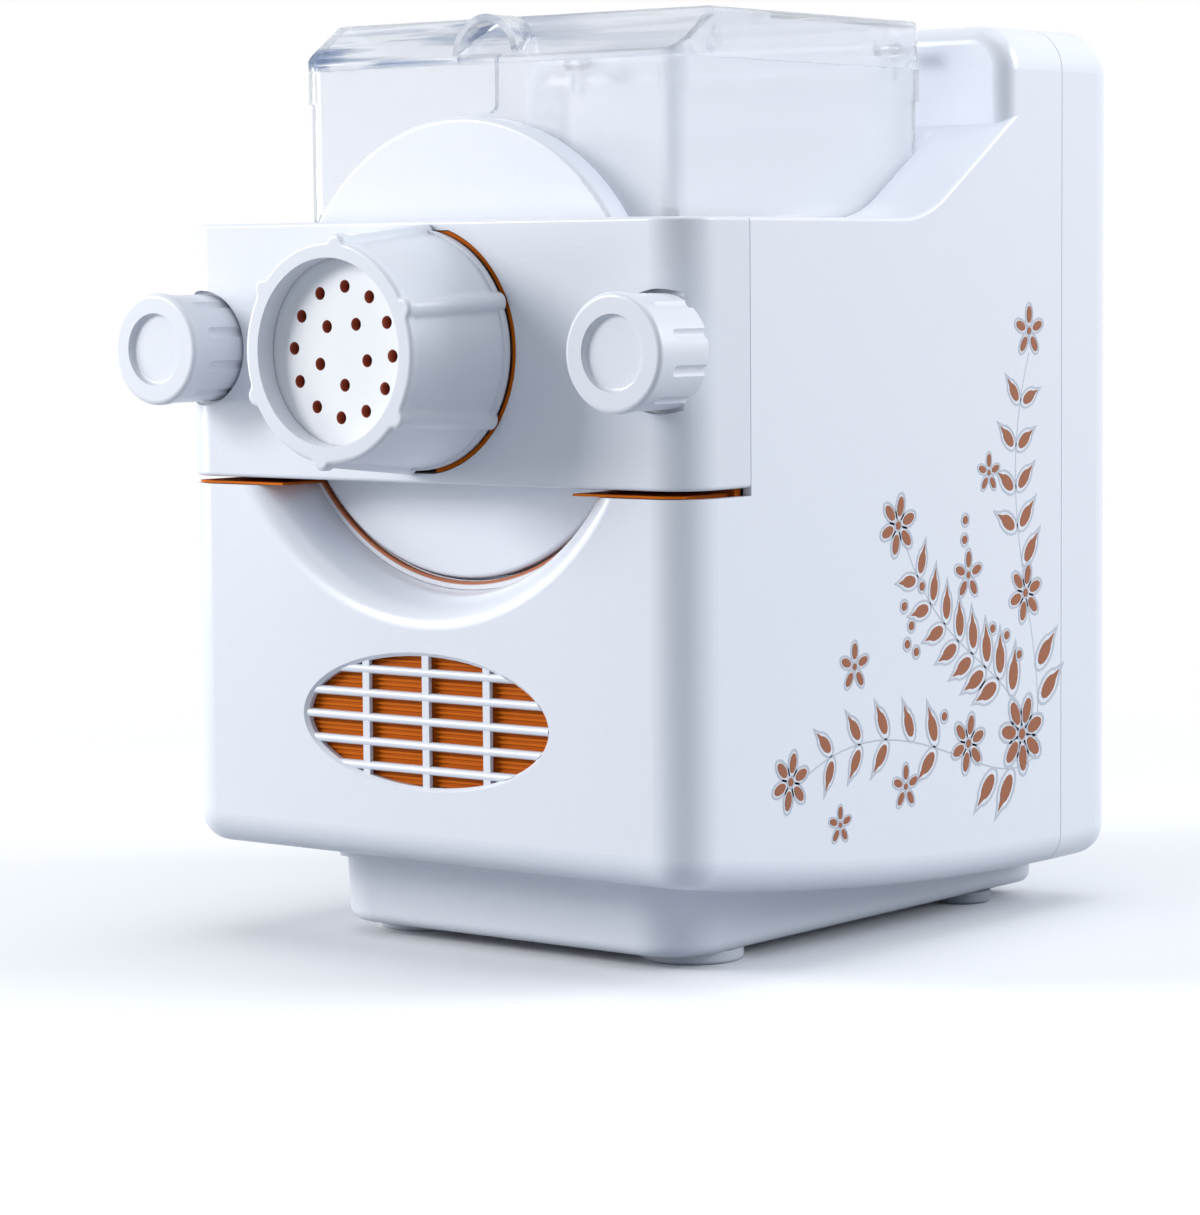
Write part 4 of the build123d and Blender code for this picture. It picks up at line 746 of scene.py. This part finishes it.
def stem(points):
    """A thin grey line along a cubic curve."""
    deselect()
    bpy.ops.curve.primitive_bezier_curve_add(location=(0, 0, 0))
    line = bpy.context.object
    first, last = line.data.splines[0].bezier_points
    for point in (first, last):
        point.handle_left_type = point.handle_right_type = "FREE"
    spots = [Vector((x / 1000, y / 1000, 0)) for x, y in points]
    first.co, first.handle_right, first.handle_left = spots[0], spots[1], spots[0]
    last.co, last.handle_left, last.handle_right = spots[3], spots[2], spots[3]
    line.data.bevel_depth = stem_width
    line.data.bevel_resolution = 1
    line.data.resolution_u = 24
    bpy.ops.object.convert(target="MESH")
    line = bpy.context.object
    line.scale.z = stem_rise / stem_width
    grey_pieces.append(line)


print("stem width:", 2000 * stem_width, "mm")

# %% [markdown]
# Three stems leave one corner, and leaves stand along them in pairs that grow smaller towards the
# tip. Of each pair one leaf reaches a little further, and they change sides from pair to pair.

# %% Stems and leaves
stems = [
    [(188, 54), (160, 40), (112, 86), (56, 60)],
    [(188, 54), (172, 92), (136, 84), (112, 128)],
    [(188, 54), (198, 96), (160, 128), (184, 186)],
]
leaf_pairs = 9
first_leaf, leaf_step = 0.14, 0.095
leaf_size, leaf_shrink = 1.3, 0.05
leaf_sides = ((0.95, 6.4), (-0.95, 6.0))
leaf_room = 3.4
for points in stems:
    stem(points)
    for n in range(leaf_pairs):
        size = leaf_size - leaf_shrink * n
        root, heading = along(points, first_leaf + leaf_step * n)
        for fork, reach in leaf_sides:
            leaf_turn = heading + (fork if n % 2 else -fork)
            spot = (root.x + reach * size * cos(leaf_turn), root.y + reach * size * sin(leaf_turn))
            if room(spot, leaf_room * size):
                stamp_pair(leaf, leaf_rim, spot, leaf_turn, size)
print("after leaves:", len(brown_pieces), "brown,", len(grey_pieces), "grey")

# %% [markdown]
# A few berries fill the gaps. Places are tried along a winding path over the corner of the print,
# turned by the same angle each time, and a berry is set where it is near the print and has room.

# %% Berries
berry_tries = 60
berry_turn = 2.4
berry_start = (186, 50)
berry_drift = (0.9, 1.3)
berry_swing = (26, 22)
berry_room = 2.7
near_print = 5.0
for n in range(berry_tries):
    turn = n * berry_turn
    spot = (berry_start[0] - berry_drift[0] * n - berry_swing[0] * (1 + cos(turn)),
            berry_start[1] + berry_drift[1] * n + berry_swing[1] * (1 + sin(turn)))
    gap = min(hypot(spot[0] - x, spot[1] - y) - reach for x, y, reach in taken)
    if gap < near_print and room(spot, berry_room):
        stamp_pair(berry, berry_rim, spot, 0)
print("stamped:", len(brown_pieces), "brown,", len(grey_pieces), "grey")

# %% [markdown]
# Every copy of one ink is joined into one mesh, and the flat drawing is stood on the side of the
# housing: its X becomes the machine's Y and its Y becomes the machine's Z. The matrix is applied to
# the mesh itself, so the object stays at the origin, unturned.

# %% Ornament on the side
side_x = 0.1019
middle_y = 0.1002
stand = Matrix(((0, 0, 1, side_x), (1, 0, 0, -middle_y), (0, 1, 0, 0), (0, 0, 0, 1)))


def join_on_side(name, pieces, finish):
    """Join flat pieces, stand them on the side and let them ride on the housing."""
    deselect()
    for piece in pieces:
        piece.select_set(True)
    bpy.context.view_layer.objects.active = pieces[0]
    bpy.ops.object.join()
    print_mesh = bpy.context.object
    bpy.ops.object.transform_apply(location=True, rotation=True, scale=True)
    print_mesh.name = name
    print_mesh.data.transform(stand)
    print_mesh.data.materials.clear()
    print_mesh.data.materials.append(finish)
    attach(print_mesh, "housing")
    print(name, "faces:", len(print_mesh.data.polygons))


brown_ink = moulded_plastic("brown_ink", (0.37, 0.115, 0.038), (0.28, 0.08, 0.028), 0.42,
                            crease_amount=0.1)
grey_ink = moulded_plastic("grey_ink", (0.60, 0.63, 0.70), (0.50, 0.54, 0.61), 0.42,
                           crease_amount=0.1)
join_on_side("ornament_brown", brown_pieces, brown_ink)
join_on_side("ornament_grey", grey_pieces, grey_ink)
for motif in motifs:
    bpy.data.objects.remove(motif)

# %% [markdown]
# The floor is matt paper with a very fine tooth. It thins out with the distance from the machine,
# so that the white sky shows and no horizon cuts the picture. To other surfaces it is darker than
# to the eye: a real floor this bright would wash out the shade under the body.

# %% Floor finish
tooth_whites = ((0.95, 0.955, 0.965, 1), (0.93, 0.935, 0.95, 1))
thrown_back = (0.30, 0.335, 0.395, 1)
fade_range = {"From Min": 0.12, "From Max": 0.8, "To Min": 1.0, "To Max": 0.0,
              "interpolation_type": "SMOOTHSTEP"}
paper, tree, shader, place = new_material("paper")
tooth = add_node(tree, "ShaderNodeTexNoise", {"Scale": 400.0, "Detail": 3.0}, Vector=place)
white = mix_colours(tree, tooth.outputs["Fac"], *tooth_whites)
rays = tree.nodes.new("ShaderNodeLightPath")
tree.links.new(mix_colours(tree, rays.outputs["Is Diffuse Ray"], white, thrown_back),
               shader.inputs["Base Color"])
tree.links.new(spread(tree, tooth.outputs["Fac"], low=0.85, high=0.95), shader.inputs["Roughness"])
distance = add_node(tree, "ShaderNodeVectorMath", {"operation": "LENGTH"})
tree.links.new(place, distance.inputs[0])
fade = add_node(tree, "ShaderNodeMapRange", fade_range, Value=distance.outputs["Value"])
tree.links.new(fade.outputs["Result"], shader.inputs["Alpha"])
floor.data.materials.append(paper)
print("floor finish:", paper.name)
